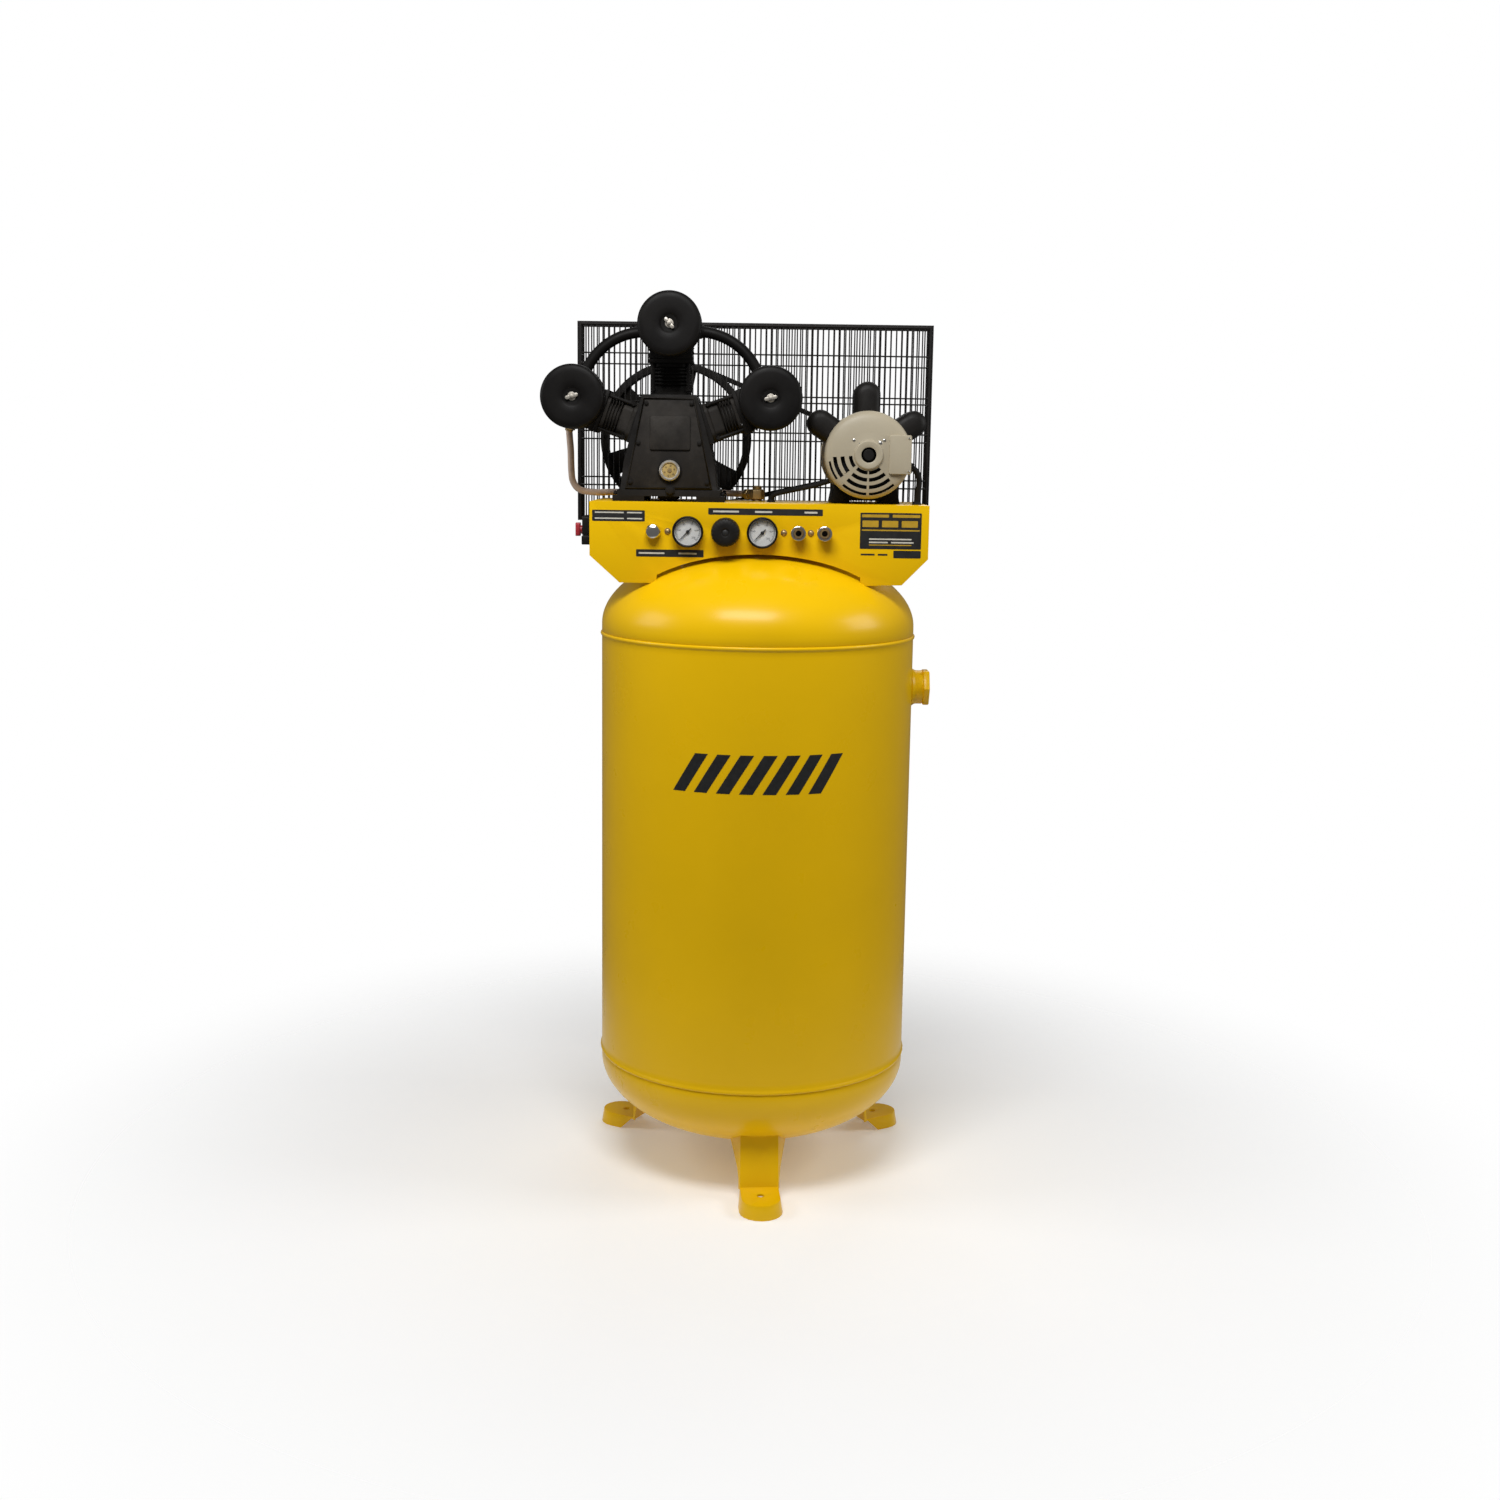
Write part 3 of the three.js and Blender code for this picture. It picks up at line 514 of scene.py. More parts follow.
def finish_piece(o, body, nodes, slot, bevel, bseg, bang, angle, smooth=True):
    mesh = o.data
    bm = bmesh.new()
    bm.from_mesh(mesh)
    bmesh.ops.remove_doubles(bm, verts=bm.verts, dist=1e-7)
    bmesh.ops.recalc_face_normals(bm, faces=bm.faces)
    bm.to_mesh(mesh)
    bm.free()
    if smooth:
        mesh.polygons.foreach_set("use_smooth", [True] * len(mesh.polygons))
        mesh.set_sharp_from_angle(angle=math.radians(angle))
    if bevel > 0:
        b = o.modifiers.new("edge", "BEVEL")
        b.width = bevel / 1000
        b.segments = bseg
        b.limit_method = "ANGLE"
        b.angle_limit = math.radians(bang)
        b.harden_normals = False
        b.use_clamp_overlap = True
        bake(o)
        if smooth:
            o.data.polygons.foreach_set("use_smooth", [True] * len(o.data.polygons))
            o.data.set_sharp_from_angle(angle=math.radians(angle))
    o.data.update()
    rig.ride(o, body)
    for n in nodes:
        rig.replaces(o, n)
    if slot:
        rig.slot(o, slot)
    return o


def bake(o):
    """Applies every modifier of o."""
    dg = bpy.context.evaluated_depsgraph_get()
    dg.update()
    new = bpy.data.meshes.new_from_object(o.evaluated_get(dg))
    o.modifiers.clear()
    old = o.data
    o.data = new
    new.name = o.name
    bpy.data.meshes.remove(old)


def from_cad(name, node, mat, bevel=0.8, bseg=2, bang=28, angle=35, body=None, slot=None, merge=1.5):
    """A finer copy of a CAD node: flat faces joined, edges rounded."""
    src = frame["nodes"][node]
    mesh = src.data.copy()
    mesh.name = name
    mesh.materials.clear()
    mesh.materials.append(mat)
    o = bpy.data.objects.new(name, mesh)
    bpy.context.scene.collection.objects.link(o)
    bm = bmesh.new()
    bm.from_mesh(mesh)
    bmesh.ops.remove_doubles(bm, verts=bm.verts, dist=2e-5)
    bmesh.ops.dissolve_limit(
        bm, angle_limit=math.radians(merge), verts=bm.verts, edges=bm.edges
    )
    bm.to_mesh(mesh)
    bm.free()
    return finish_piece(
        o, body or src["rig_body"], [node], slot, bevel, bseg, bang, angle
    )


def boolean(o, cutter_build, op="DIFFERENCE"):
    mesh = bpy.data.meshes.new("cutter")
    mesh.from_pydata([TO_ROW @ p for p in cutter_build.v], [], cutter_build.f)
    c = bpy.data.objects.new("cutter", mesh)
    bpy.context.scene.collection.objects.link(c)
    bm = bmesh.new()
    bm.from_mesh(mesh)
    bmesh.ops.recalc_face_normals(bm, faces=bm.faces)
    bm.to_mesh(mesh)
    bm.free()
    md = o.modifiers.new("cut", "BOOLEAN")
    md.object = c
    md.operation = op
    md.solver = "EXACT"
    md.use_self = True
    bake(o)
    bpy.data.objects.remove(c)


def arc(cx, cy, r, a0, a1, n):
    return [
        (
            cx + r * math.cos(math.radians(a0 + (a1 - a0) * i / n)),
            cy + r * math.sin(math.radians(a0 + (a1 - a0) * i / n)),
        )
        for i in range(n + 1)
    ]


def rounded_rect(x0, x1, z0, z1, r, n=5):
    return (
        arc(x1 - r, z1 - r, r, 0, 90, n)
        + arc(x0 + r, z1 - r, r, 90, 180, n)
        + arc(x0 + r, z0 + r, r, 180, 270, n)
        + arc(x1 - r, z0 + r, r, 270, 360, n)
    )


def smooth_path(pts, step=4.0):
    """Points every few mm along a Catmull-Rom line through pts."""
    pts = [Vector(p) for p in pts]
    ext = [pts[0] * 2 - pts[1]] + pts + [pts[-1] * 2 - pts[-2]]
    out = []
    for i in range(1, len(ext) - 2):
        p0, p1, p2, p3 = ext[i - 1 : i + 3]
        n = max(2, int((p2 - p1).length / step))
        for k in range(n):
            t = k / n
            out.append(
                0.5
                * (
                    2 * p1
                    + (p2 - p0) * t
                    + (2 * p0 - 5 * p1 + 4 * p2 - p3) * t * t
                    + (3 * p1 - p0 - 3 * p2 + p3) * t**3
                )
            )
    out.append(pts[-1])
    return out


# ------------------------------------------------------------------ tank
R = 304.8
HD = 152.4
LOW, HIGH = 212.0, 1085.0
SEAM_LO, SEAM_HI = 227.0, 1070.0

b = Build()
prof = [(R - 4, SEAM_LO)]
prof += [(R - 0.6, SEAM_LO), (R + 0.9, SEAM_LO + 0.5), (R + 2.3, SEAM_LO + 2.0), (R + 2.7, SEAM_LO + 4.0),
         (R + 2.1, SEAM_LO + 6.0), (R + 0.8, SEAM_LO + 7.6), (R, SEAM_LO + 9.5)]
prof += [(R, SEAM_LO + 20 + i * (SEAM_HI - SEAM_LO - 40) / 24) for i in range(25)]
prof += [(R, SEAM_HI - 9.5), (R + 0.8, SEAM_HI - 7.6), (R + 2.1, SEAM_HI - 6.0), (R + 2.7, SEAM_HI - 4.0),
         (R + 2.3, SEAM_HI - 2.0), (R + 0.9, SEAM_HI - 0.5), (R - 0.6, SEAM_HI)]
prof += [(R - 4, SEAM_HI)]


def dented(r, h, t):
    """Hand-laid beads wander a little; the sheet between them stays true."""
    if r > R + 0.2:
        return 1 + 0.0006 * math.sin(t * 61 + h) + 0.0005 * math.sin(t * 97 + 1.3)
    return 1.0


b.lathe(prof, "Z", seg=192, ring=True, shape=dented)
b.make("tank_shell_skin", YELLOW, nodes=["tank_shell"], slot="yellow_paint", angle=60)


def head_profile(zc, way, seam):
    out = [(R - 0.4, seam), (R, seam + way * 0.8)]
    out += [(R * math.cos(math.pi / 2 * i / 40), zc + way * HD * math.sin(math.pi / 2 * i / 40)) for i in range(40)]
    out += [(0, zc + way * HD)]
    inner = [((R - 4) * math.cos(math.pi / 2 * i / 20), zc + way * (HD - 4) * math.sin(math.pi / 2 * i / 20)) for i in range(20)]
    return out, inner


for nm, zc, way, seam in (("tank_top_head", HIGH, 1, SEAM_HI + 0.3), ("tank_bottom_head", LOW, -1, SEAM_LO - 0.3)):
    outer, inner = head_profile(zc, way, seam)
    b = Build()
    b.lathe(outer + [(0, zc + way * (HD - 4))] + inner[::-1] + [(R - 4, seam)], "Z", seg=192, ring=False)
    # the open rim: last profile point joins the first one
    n = 192
    first = list(range(0, n))
    last = list(range(len(b.v) - n, len(b.v)))
    for i in range(n):
        k = (i + 1) % n
        b.f.append((last[i], last[k], first[k], first[i]))
        b.mi.append(0)
    # the two poles belong to one closed skin, so nothing joins them
    b.f = [f for f in b.f if len(set(f)) > 2]
    b.make(nm + "_skin", YELLOW, nodes=[nm], slot="yellow_paint", angle=60)

# striped panel in place of any mark, wrapped on the shell
b = Build()
x0, x1, z0, z1 = -158.0, 168.0, 801.0, 873.0
slant = (z1 - z0) * 0.62
count = 7
pitch = (x1 - x0 - slant) / (count - 0.42)
for i in range(count):
    left = x0 + i * pitch
    wide = pitch * 0.58
    nu, nv = 6, 6
    verts = []
    for rr in (R + 0.12, R + 0.42):
        for v in range(nv + 1):
            z = z0 + (z1 - z0) * v / nv
            for u in range(nu + 1):
                x = left + wide * u / nu + slant * v / nv
                t = x / R
                verts.append((rr * math.sin(t), -rr * math.cos(t), z))
    w = nu + 1
    half = w * (nv + 1)
    faces = []
    for v in range(nv):
        for u in range(nu):
            q = v * w + u
            faces.append((q, q + 1, q + w + 1, q + w))
            faces.append((q + half, q + half + w, q + half + w + 1, q + half + 1))
    edge = [u for u in range(w)] + [v * w + nu for v in range(1, nv + 1)]
    edge += [nv * w + u for u in range(nu - 1, -1, -1)] + [v * w for v in range(nv - 1, 0, -1)]
    for k in range(len(edge)):
        p, q = edge[k], edge[(k + 1) % len(edge)]
        faces.append((p, p + half, q + half, q))
    b.add(verts, faces)
b.make("tank_stripes", INK, slot="yellow_paint", angle=60)

# side port: welded half coupling and its hexagonal plug
a_, b_ = node_box("side_port_plug")
pz = (a_.z + b_.z) / 2
b = Build()
b.lathe([(20, 296), (36, 301), (37.5, 305), (35, 308), (33.5, 311), (33, 314), (33, 324), (31.5, 326.5), (20, 326.5)],
        "X", c=(0, 0, pz), seg=64, ring=True)
b.hexa((325.5, 0, pz), (338.5, 0, pz), 66, cham=2.0)
b.cyl((337, 0, pz), (339, 0, pz), 24, 40, cham=0.6)
b.make("side_port_fitting", YELLOW, nodes=["side_port_plug"], slot="yellow_paint", bevel=0.8, bang=40)

# feet
for k in ("front", "left", "right"):
    from_cad("leg_" + k + "_pressing", "leg_" + k, YELLOW, bevel=1.6, bseg=3, bang=30, angle=50, slot="yellow_paint", merge=2)

# drain
from_cad("drain_valve_body", "drain_valve", BRASS, bevel=0.8, slot="brass", angle=40)
from_cad("drain_valve_wing", "drain_handle", BRASS, bevel=0.8, slot="brass", angle=40)

# ------------------------------------------------------------------ platform
from_cad("platform_sheet", "platform", YELLOW, bevel=1.3, bseg=3, bang=30, angle=40, slot="yellow_paint")

# console labels: blank plates with plain bars
FACE = -150.0


def plate(bd, x0, x1, z0, z1, out=0.35, r=1.5):
    bd.prism(rounded_rect(x0, x1, z0, z1, r, 3), FACE - out, FACE - 0.02, "XZ")


b = Build()
b.cur = 0
plate(b, -95, 118, 1300.5, 1312.5)
plate(b, -311, -213, 1286, 1306.5)
plate(b, -229, -103, 1221, 1234.5)
plate(b, 188, 302, 1241, 1308)
plate(b, 251, 302, 1224.5, 1238.5)
b.cur = 1
for x0, x1 in ((-86, -38), (-8, 24), (84, 108)):
    plate(b, x0, x1, 1304.8, 1308.2, 0.55, 0.6)
for x0, x1 in ((-224, -176), (-150, -116)):
    plate(b, x0, x1, 1226.2, 1229.2, 0.55, 0.6)
for z in (1302.0, 1291.0):
    plate(b, -306, -252, z - 1.2, z + 1.2, 0.55, 0.5)
    plate(b, -246, -218, z - 1.2, z + 1.2, 0.55, 0.5)
for x0, x1 in ((205, 240), (246, 288)):
    plate(b, x0, x1, 1252.0, 1254.6, 0.55, 0.5)
plate(b, 205, 284, 1258.0, 1260.6, 0.55, 0.5)
b.cur = 2
for x0, x1 in ((191, 241), (248, 299)):
    plate(b, x0, x1, 1299.5, 1304.8, 0.55, 0.8)
for i in range(3):
    plate(b, 192 + i * 36.5, 222 + i * 36.5, 1281.5, 1293.5, 0.55, 1.0)
plate(b, 191, 299, 1274.5, 1277.0, 0.55, 0.8)
plate(b, 205, 284, 1247.5, 1249.3, 0.55, 0.6)
b.make("console_labels", [INK, PALE_INK, AMBER_INK], slot="yellow_paint", angle=40)
b = Build()
b.cur = 0
for x0, x1 in ((190, 216), (222, 240)):
    plate(b, x0, x1, 1229.0, 1232.2, 0.35, 0.6)
b.make("console_label_bars", INK, slot="yellow_paint", angle=40)

# console screws
PZ = JOINT["regulator_turn"]["pos_m"][2] * 1000
b = Build()
for x in (-170.3, 46.3, 96.5):
    b.cyl((x, FACE, PZ), (x, FACE - 1.0, PZ), 6.0, 28, cham=0.3)
    b.lathe([(0, FACE - 4.2), (2.2, FACE - 4.1), (4.0, FACE - 3.4), (5.0, FACE - 1.8), (5.0, FACE - 0.9), (0, FACE - 0.9)],
            "Y", c=(x, 0, PZ), seg=28)
b.make("console_screws", BRASS, slot="brass", angle=40)

# ------------------------------------------------------------------ pump crankcase
from_cad("crankcase_casting", "crankcase", IRON, bevel=2.6, bseg=3, bang=28, angle=40, slot="black_iron")
PUMP = Matrix.Translation((PUMP_X, 0, CRANK_Z))

b = Build()
b.m = PUMP
# front cover: a trapezoid plate with a rim and a raised name panel left blank
def half_width(z):
    return 47 + 0.2034 * (77 - z)


def trap(zt, zb, inset):
    return [
        (-half_width(zb) + inset, zb),
        (half_width(zb) - inset, zb),
        (half_width(zt) - inset, zt),
        (-half_width(zt) + inset, zt),
    ]


# the front cover takes the lighter copy of the iron: painted light on the pump's front
b.prism(trap(72, -98, 0), -103.4, -99.5, "XZ")
b.make("crankcase_front_cover", IRON_LIT_COPY, slot="black_iron", bevel=1.4, bseg=3, bang=20, angle=40)
b = Build()
b.m = PUMP
outer = trap(71, -97, 0.8)
inner = trap(68, -94, 3.6)
# raised rim round the cover: a closed ring of four mitred bars
for i in range(4):
    k = (i + 1) % 4
    p = [outer[i], outer[k], inner[k], inner[i]]
    b.prism(p, -105.4, -103.0, "XZ")
b.prism(rounded_rect(-35.5, 40, -25, 37, 3.5), -107.2, -103.0, "XZ")
# the rim and name panel take the same lighter copy: painted light
b.make("crankcase_cover_relief", IRON_LIT_COPY, slot="black_iron", bevel=1.0, bseg=2, bang=30, angle=40)
b = Build()
b.m = PUMP
for z in (61, -12, -85):
    for s_ in (-1, 1):
        b.bolt((s_ * (half_width(z) - 8.0), -103.4, z), (0, -1, 0), af=8, h=2.6, stud=0, washer=False)
# bolts through the feet
for x in (-101.6, 101.6):
    for y in (-84, 72):
        b.bolt((x, y, -110), (0, 0, 1), af=7.5, h=5, stud=2, washer=False)
b.make("crankcase_bolts", IRON, slot="black_iron", bevel=0.3, bseg=1, angle=35)

# hold-down studs and their nuts round the cylinder bases
b = Build()
for k in ("center", "left", "right"):
    b.m = PUMP @ Matrix.Translation((0, CYL_Y[k], 0)) @ Matrix.Rotation(math.radians(TURN[k]), 4, "Y")
    for sx in (-1, 1):
        for sy in (-1, 1):
            b.cyl((sx * 33, sy * 33, 83), (sx * 33, sy * 33, 136.6), 3.4, 14)
            b.bolt((sx * 33, sy * 33, 83.3), (0, 0, 1), af=9, h=5, stud=0, washer=False)
b.make("cylinder_studs", IRON, slot="black_iron", angle=35)

# sight glass: bright ring, brass centre
b = Build()
b.m = PUMP @ Matrix.Translation((2, 0, -63))
b.cur = 0
b.lathe([(14, -107.3), (19.3, -107.3), (19.5, -109), (19.2, -112.2), (17.8, -113.8), (15.6, -113.9), (14, -112.6)],
        "Y", seg=64, ring=True)
b.cur = 1
b.lathe([(0, -107.4), (13.8, -107.4), (13.8, -110.6), (9, -111.1), (0, -111.3)], "Y", seg=48)
b.cur = 2
b.lathe([(0, -111.2), (3.4, -111.2), (4.4, -111.9), (3.6, -112.8), (0, -113.0)], "Y", seg=32)
for i in range(6):
    t = i * math.pi / 3 + 0.3
    b.cyl((9.4 * math.cos(t), -110.8, 9.4 * math.sin(t)), (9.4 * math.cos(t), -112.0, 9.4 * math.sin(t)), 1.5, 12)
b.make("oil_sight_glass", [ZINC, OIL_GLASS, BRASS], nodes=["sight_glass"], slot="brass", angle=35)

b = Build()
b.m = PUMP
b.cyl((3, -103.5, -100), (3, -105.6, -100), 9.2, 32, cham=0.4)
b.hexa((3, -105.4, -100), (3, -113.6, -100), 13.6, cham=1.0)
b.make("oil_drain_bung", IRON, nodes=["oil_drain_plug"], slot="steel", bevel=0.4, angle=35)
b = Build()
b.m = PUMP
b.cyl((62, 94.5, -70), (62, 104, -70), 11, 36, cham=0.5)
b.lathe([(0, 103.5), (15, 103.5), (15, 109.5), (12.5, 111.8), (0, 112)], "Y", c=(62, 0, -70), seg=60,
        shape=lambda r, h, t: 1 + (0.03 * math.cos(20 * t) if r > 13 else 0))
b.make("oil_fill_cap", PLASTIC, nodes=["oil_fill_plug"], slot="black_plastic", angle=35)

# rear nose of the crankcase: bolted bearing carrier ring
b = Build()
b.m = PUMP
b.lathe([(14, 100.5), (44, 100.5), (44.5, 104), (42, 107.5), (20, 109.5), (14, 109.5)], "Y", seg=72, ring=True)
for i in range(6):
    t = i * math.pi / 3 + math.pi / 6
    b.bolt((35 * math.cos(t), 106.5, 35 * math.sin(t)), (0, 1, 0), af=9, h=4, stud=0)
b.make("crank_bearing_cap", IRON, slot="black_iron", angle=35)

# ------------------------------------------------------------------ cylinders and heads


def square(r, h, t):
    if r > 32:
        c, s = abs(math.cos(t)), abs(math.sin(t))
        return min(1 / max(c, s), 1.17)
    return 1.0


for k in ("center", "left", "right"):
    T = PUMP @ Matrix.Translation((0, CYL_Y[k], 0)) @ Matrix.Rotation(math.radians(TURN[k]), 4, "Y")
    b = Build()
    b.m = T
    z = 77.3
    first, count, step = (96.0, 5, 6.6) if k == "center" else (105.5, 4, 5.9)
    prof = [(27.2, z), (38, z), (38, z + 5.4), (36.8, z + 6.4)]
    if k == "center":
        prof += [(31, z + 7)]
    else:
        prof += [(35.2, z + 8), (34.6, 102.0), (33.6, 103.6)]
    for i in range(count):
        zz = first + i * step
        prof += [(31, zz), (33.6, zz + 0.5), (36, zz + 1.0), (36.4, zz + 1.6), (36, zz + 2.2), (33.6, zz + 2.7), (31, zz + 3.2)]
    prof += [(31, 129.0), (36.8, 129.5), (38, 130.5), (38, 136.4), (27.2, 136.4)]
    b.lathe(prof, "Z", seg=96, ring=True, shape=square)
    # the side cylinders take the lighter copy of the iron, the centre one the plain iron: painted light
    b.make("cylinder_" + k + "_finned", IRON if k == "center" else IRON_LIT_COPY, nodes=["cylinder_" + k], slot="black_iron", angle=30)

    b = Build()
    b.m = T
    b.box(-42, 42, -44, 44, 136.9, 144.0)
    b.box(-41, 41, -43, 43, 144.4, 154.0)
    b.box(-39, 39, -41, 41, 153.0, 203.5)
    for i in range(9):
        x = -36 + i * 9
        b.box(x - 1.6, x + 1.6, -40, 40, 200.0, 217.4)
    for i in range(5):
        zf = 159 + i * 8.6
        b.box(-41.6, 41.6, -43.6, 43.6, zf, zf + 3.0)
    b.make("head_" + k + "_finned", IRON, nodes=["head_" + k], slot="black_iron", bevel=0.9, bseg=2, bang=40, angle=40)
    b = Build()
    b.m = T
    for sx in (-1, 1):
        for y in (-34, 34):
            b.cyl((sx * 31.5, y, 203), (sx * 31.5, y, 213.5), 6.4, 20)
            b.bolt((sx * 31.5, y, 213.5), (0, 0, 1), af=10, h=3.4, stud=0, washer=False)
    if k != "left":
        b.cyl((-40, 12, 197), (-47, 12, 197), 15, 32, cham=1)
    if k != "right":
        b.cyl((40, -12, 197), (47, -12, 197), 15, 32, cham=1)
    if k == "left":
        b.cyl((-40, 0, 197), (-42.2, 0, 197), 11, 28, cham=0.5)
    b.make("head_" + k + "_bosses", IRON, slot="black_iron", angle=35)
    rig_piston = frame["nodes"]["piston_" + k]
    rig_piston.data.materials.clear()
    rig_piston.data.materials.append(ALLOY)

# ------------------------------------------------------------------ intake filters
WING = {"center": -48.0, "left": 18.0, "right": 14.0}
for k in ("center", "left", "right"):
    a_, b_ = node_box("filter_" + k)
    cx, cz = (a_.x + b_.x) / 2, (a_.z + b_.z) / 2
    y0, y1, yn = a_.y, a_.y + 58, b_.y
    RF = 59.0
    b = Build()
    b.cur = 0
    # front cover pressed to a shallow dish with a rolled rim
    b.lathe(
        [(0, y0 + 5.5), (8, y0 + 5.4), (15, y0 + 4.6), (18, y0 + 2.2), (20.5, y0 + 1.2), (30, y0 + 0.5), (46, y0 + 0.3),
         (52, y0 + 1.0), (55.8, y0 + 2.6), (58.0, y0 + 5.2), (RF, y0 + 8.6), (RF, y0 + 13.0), (58.0, y0 + 14.6), (56.6, y0 + 14.9),
         (55.8, y0 + 12.5), (52, y0 + 8.5), (20, y0 + 8.0), (0, y0 + 8.0)],
        "Y", c=(cx, 0, cz), seg=112)
    # back pan
    b.lathe(
        [(0, y1 - 6), (50, y1 - 6), (56.6, y1 - 15.2), (58.0, y1 - 15.0), (RF, y1 - 13.2), (RF, y1 - 7), (58, y1 - 3.2),
         (54.5, y1 - 0.8), (49, y1), (20, y1 + 0.3), (0, y1 + 0.3)],
        "Y", c=(cx, 0, cz), seg=112)
    # neck and its clamp band
    b.cyl((cx, y1 - 1, cz), (cx, yn, cz), 15, 40)
    if yn - y1 > 12:
        b.lathe([(15.2, y1 + 4), (17.4, y1 + 4.4), (17.4, y1 + 10.2), (15.2, y1 + 10.6)], "Y", c=(cx, 0, cz), seg=48, ring=True)
    # louvred band
    nl = 30
    for i in range(nl):
        t0 = 2 * math.pi * i / nl
        t1 = 2 * math.pi * (i + 0.55) / nl
        pts = []
        for t in (t0, (t0 + t1) / 2, t1):
            pts.append((cx + 57.2 * math.cos(t), cz + 57.2 * math.sin(t)))
        for t in (t1, (t0 + t1) / 2, t0):
            pts.append((cx + 55.9 * math.cos(t), cz + 55.9 * math.sin(t)))
        b.prism(pts, y0 + 12.5, y1 - 13, "XZ")
    b.cur = 1
    b.lathe([(0, y0 + 13), (52.5, y0 + 13), (52.5, y1 - 14), (0, y1 - 14)], "Y", c=(cx, 0, cz), seg=288,
            shape=lambda r, h, t: 1 + 0.028 * math.cos(72 * t))
    b.make("filter_" + k + "_canister", [BLACK, PAPER], nodes=["filter_" + k], slot="black_paint", angle=32)
    # stud, washer and wing nut
    b = Build()
    b.m = Matrix.Translation((cx, 0, cz)) @ Matrix.Rotation(math.radians(-WING[k]), 4, "Y")
    b.cyl((0, y0 + 5.4, 0), (0, y0 + 3.9, 0), 8.0, 36, cham=0.3)
    b.cyl((0, y0 + 4.1, 0), (0, y0 - 0.6, 0), 5.2, 24, r2=4.2)
    b.cyl((0, y0 + 4.1, 0), (0, y0 - 3.4, 0), 2.4, 16, cham=0.4)
    for s in (-1, 1):
        wing = [(s * 2.6, -2.0), (s * 6.0, -3.4), (s * 10.0, -3.3), (s * 12.2, -0.9), (s * 12.0, 1.8), (s * 9.4, 3.4), (s * 5.6, 2.9), (s * 2.6, 2.0)]
        b.prism(wing if s > 0 else wing[::-1], y0 - 0.4, y0 + 2.0, "XZ")
    b.make("filter_" + k + "_wing_nut", ZINC, slot="chrome", bevel=0.45, bseg=2, angle=40)

# ------------------------------------------------------------------ tubes between the heads
side = math.radians(SIDE)
sx_, cx_ = math.sin(side), math.cos(side)


def bezier(p, n):
    out = []
    for i in range(n + 1):
        t = i / n
        out.append(sum((Vector(q) * c for q, c in zip(p, ((1 - t) ** 3, 3 * t * (1 - t) ** 2, 3 * t * t * (1 - t), t**3))), Vector()))
    return out


for k, way, y in (("left", -1, -6.0), ("right", 1, -30.0)):
    start = (way * 47.3, y, 197)
    end = (way * (197 * sx_ - 47.3 * cx_), y, 197 * cx_ + 47.3 * sx_)
    path = bezier(
        [start, (start[0] + way * 62, y, 197), (end[0] - way * cx_ * 52, y, end[2] + sx_ * 52), end], 40)
    b = Build()
    b.m = PUMP
    b.tube(path, 10.4, 28)
    d = (path[1] - path[0]).normalized()
    b.hexa(path[0] + d * 0.1, path[0] + d * 11, 25.5, cham=1.2)
    b.cyl(path[0] + d * 10, path[0] + d * 15, 12.4, 28, r2=11)
    d = (path[-2] - path[-1]).normalized()
    b.hexa(path[-1] + d * 0.1, path[-1] + d * 11, 25.5, cham=1.2)
    b.cyl(path[-1] + d * 10, path[-1] + d * 15, 12.4, 28, r2=11)
    b.make("manifold_tube_" + k + "_fitted", BLACK, nodes=["manifold_tube_" + k], slot="black_paint", angle=35)

# ------------------------------------------------------------------ copper discharge line
oR, oL = 192.0, 42.5
p0 = Vector((PUMP_X - oR * sx_ - oL * cx_, 6, CRANK_Z + oR * cx_ - oL * sx_))
route = [
    p0, p0 + Vector((-3, 0, -11)), (-369, 6, 1440), (-367, 6, 1415), (-366, 6, 1380), (-363, 8, 1356), (-350, 14, 1340),
    (-322, 34, 1335), (-296, 80, 1335), (-268, 120, 1335), (-228, 134, 1335), (-170, 134, 1335), (-110, 134, 1335),
    (-66, 120, 1335), (-38, 85, 1335), (-19.4, 59.2, 1335),
]
b = Build()
path = smooth_path(route, 4.0)
b.cur = 0
b.tube(path, 6.4, 24)
b.cur = 1
d = (path[2] - path[0]).normalized()
b.hexa(path[0] + d * 0.2, path[0] + d * 12, 19, cham=1.0)
b.cyl(path[0] + d * 11, path[0] + d * 16, 8.6, 24, r2=7.2)
d = (path[-3] - path[-1]).normalized()
b.hexa(path[-1] + d * 0.2, path[-1] + d * 12, 19, cham=1.0)
b.cyl(path[-1] + d * 11, path[-1] + d * 16, 8.6, 24, r2=7.2)
b.make("discharge_tube_copper", [COPPER, BRASS], nodes=["discharge_tube"], slot="copper", angle=35)

a_, b_ = node_box("check_valve")
b = Build()
CX, CY = -5.0, 40.0
b.cyl((CX, CY, a_.z + 0.4), (CX, CY, 1327), 10, 32)
b.hexa((CX, CY, 1325.5), (CX, CY, 1345), 26, cham=1.4)
b.lathe([(0, 1344), (9, 1344), (9, 1350), (7.4, 1352), (0, 1352)], "Z", c=(CX, CY, 0), seg=32)
b.cyl((CX, CY, 1335), (CX - 0.6 * 20, CY + 0.8 * 20, 1335), 8, 28)
b.hexa((CX - 0.6 * 13, CY + 0.8 * 13, 1335), (CX - 0.6 * 23.4, CY + 0.8 * 23.4, 1335), 16, cham=0.8)
b.make("check_valve_brass", BRASS, nodes=["check_valve"], slot="brass", bevel=0.3, angle=38)

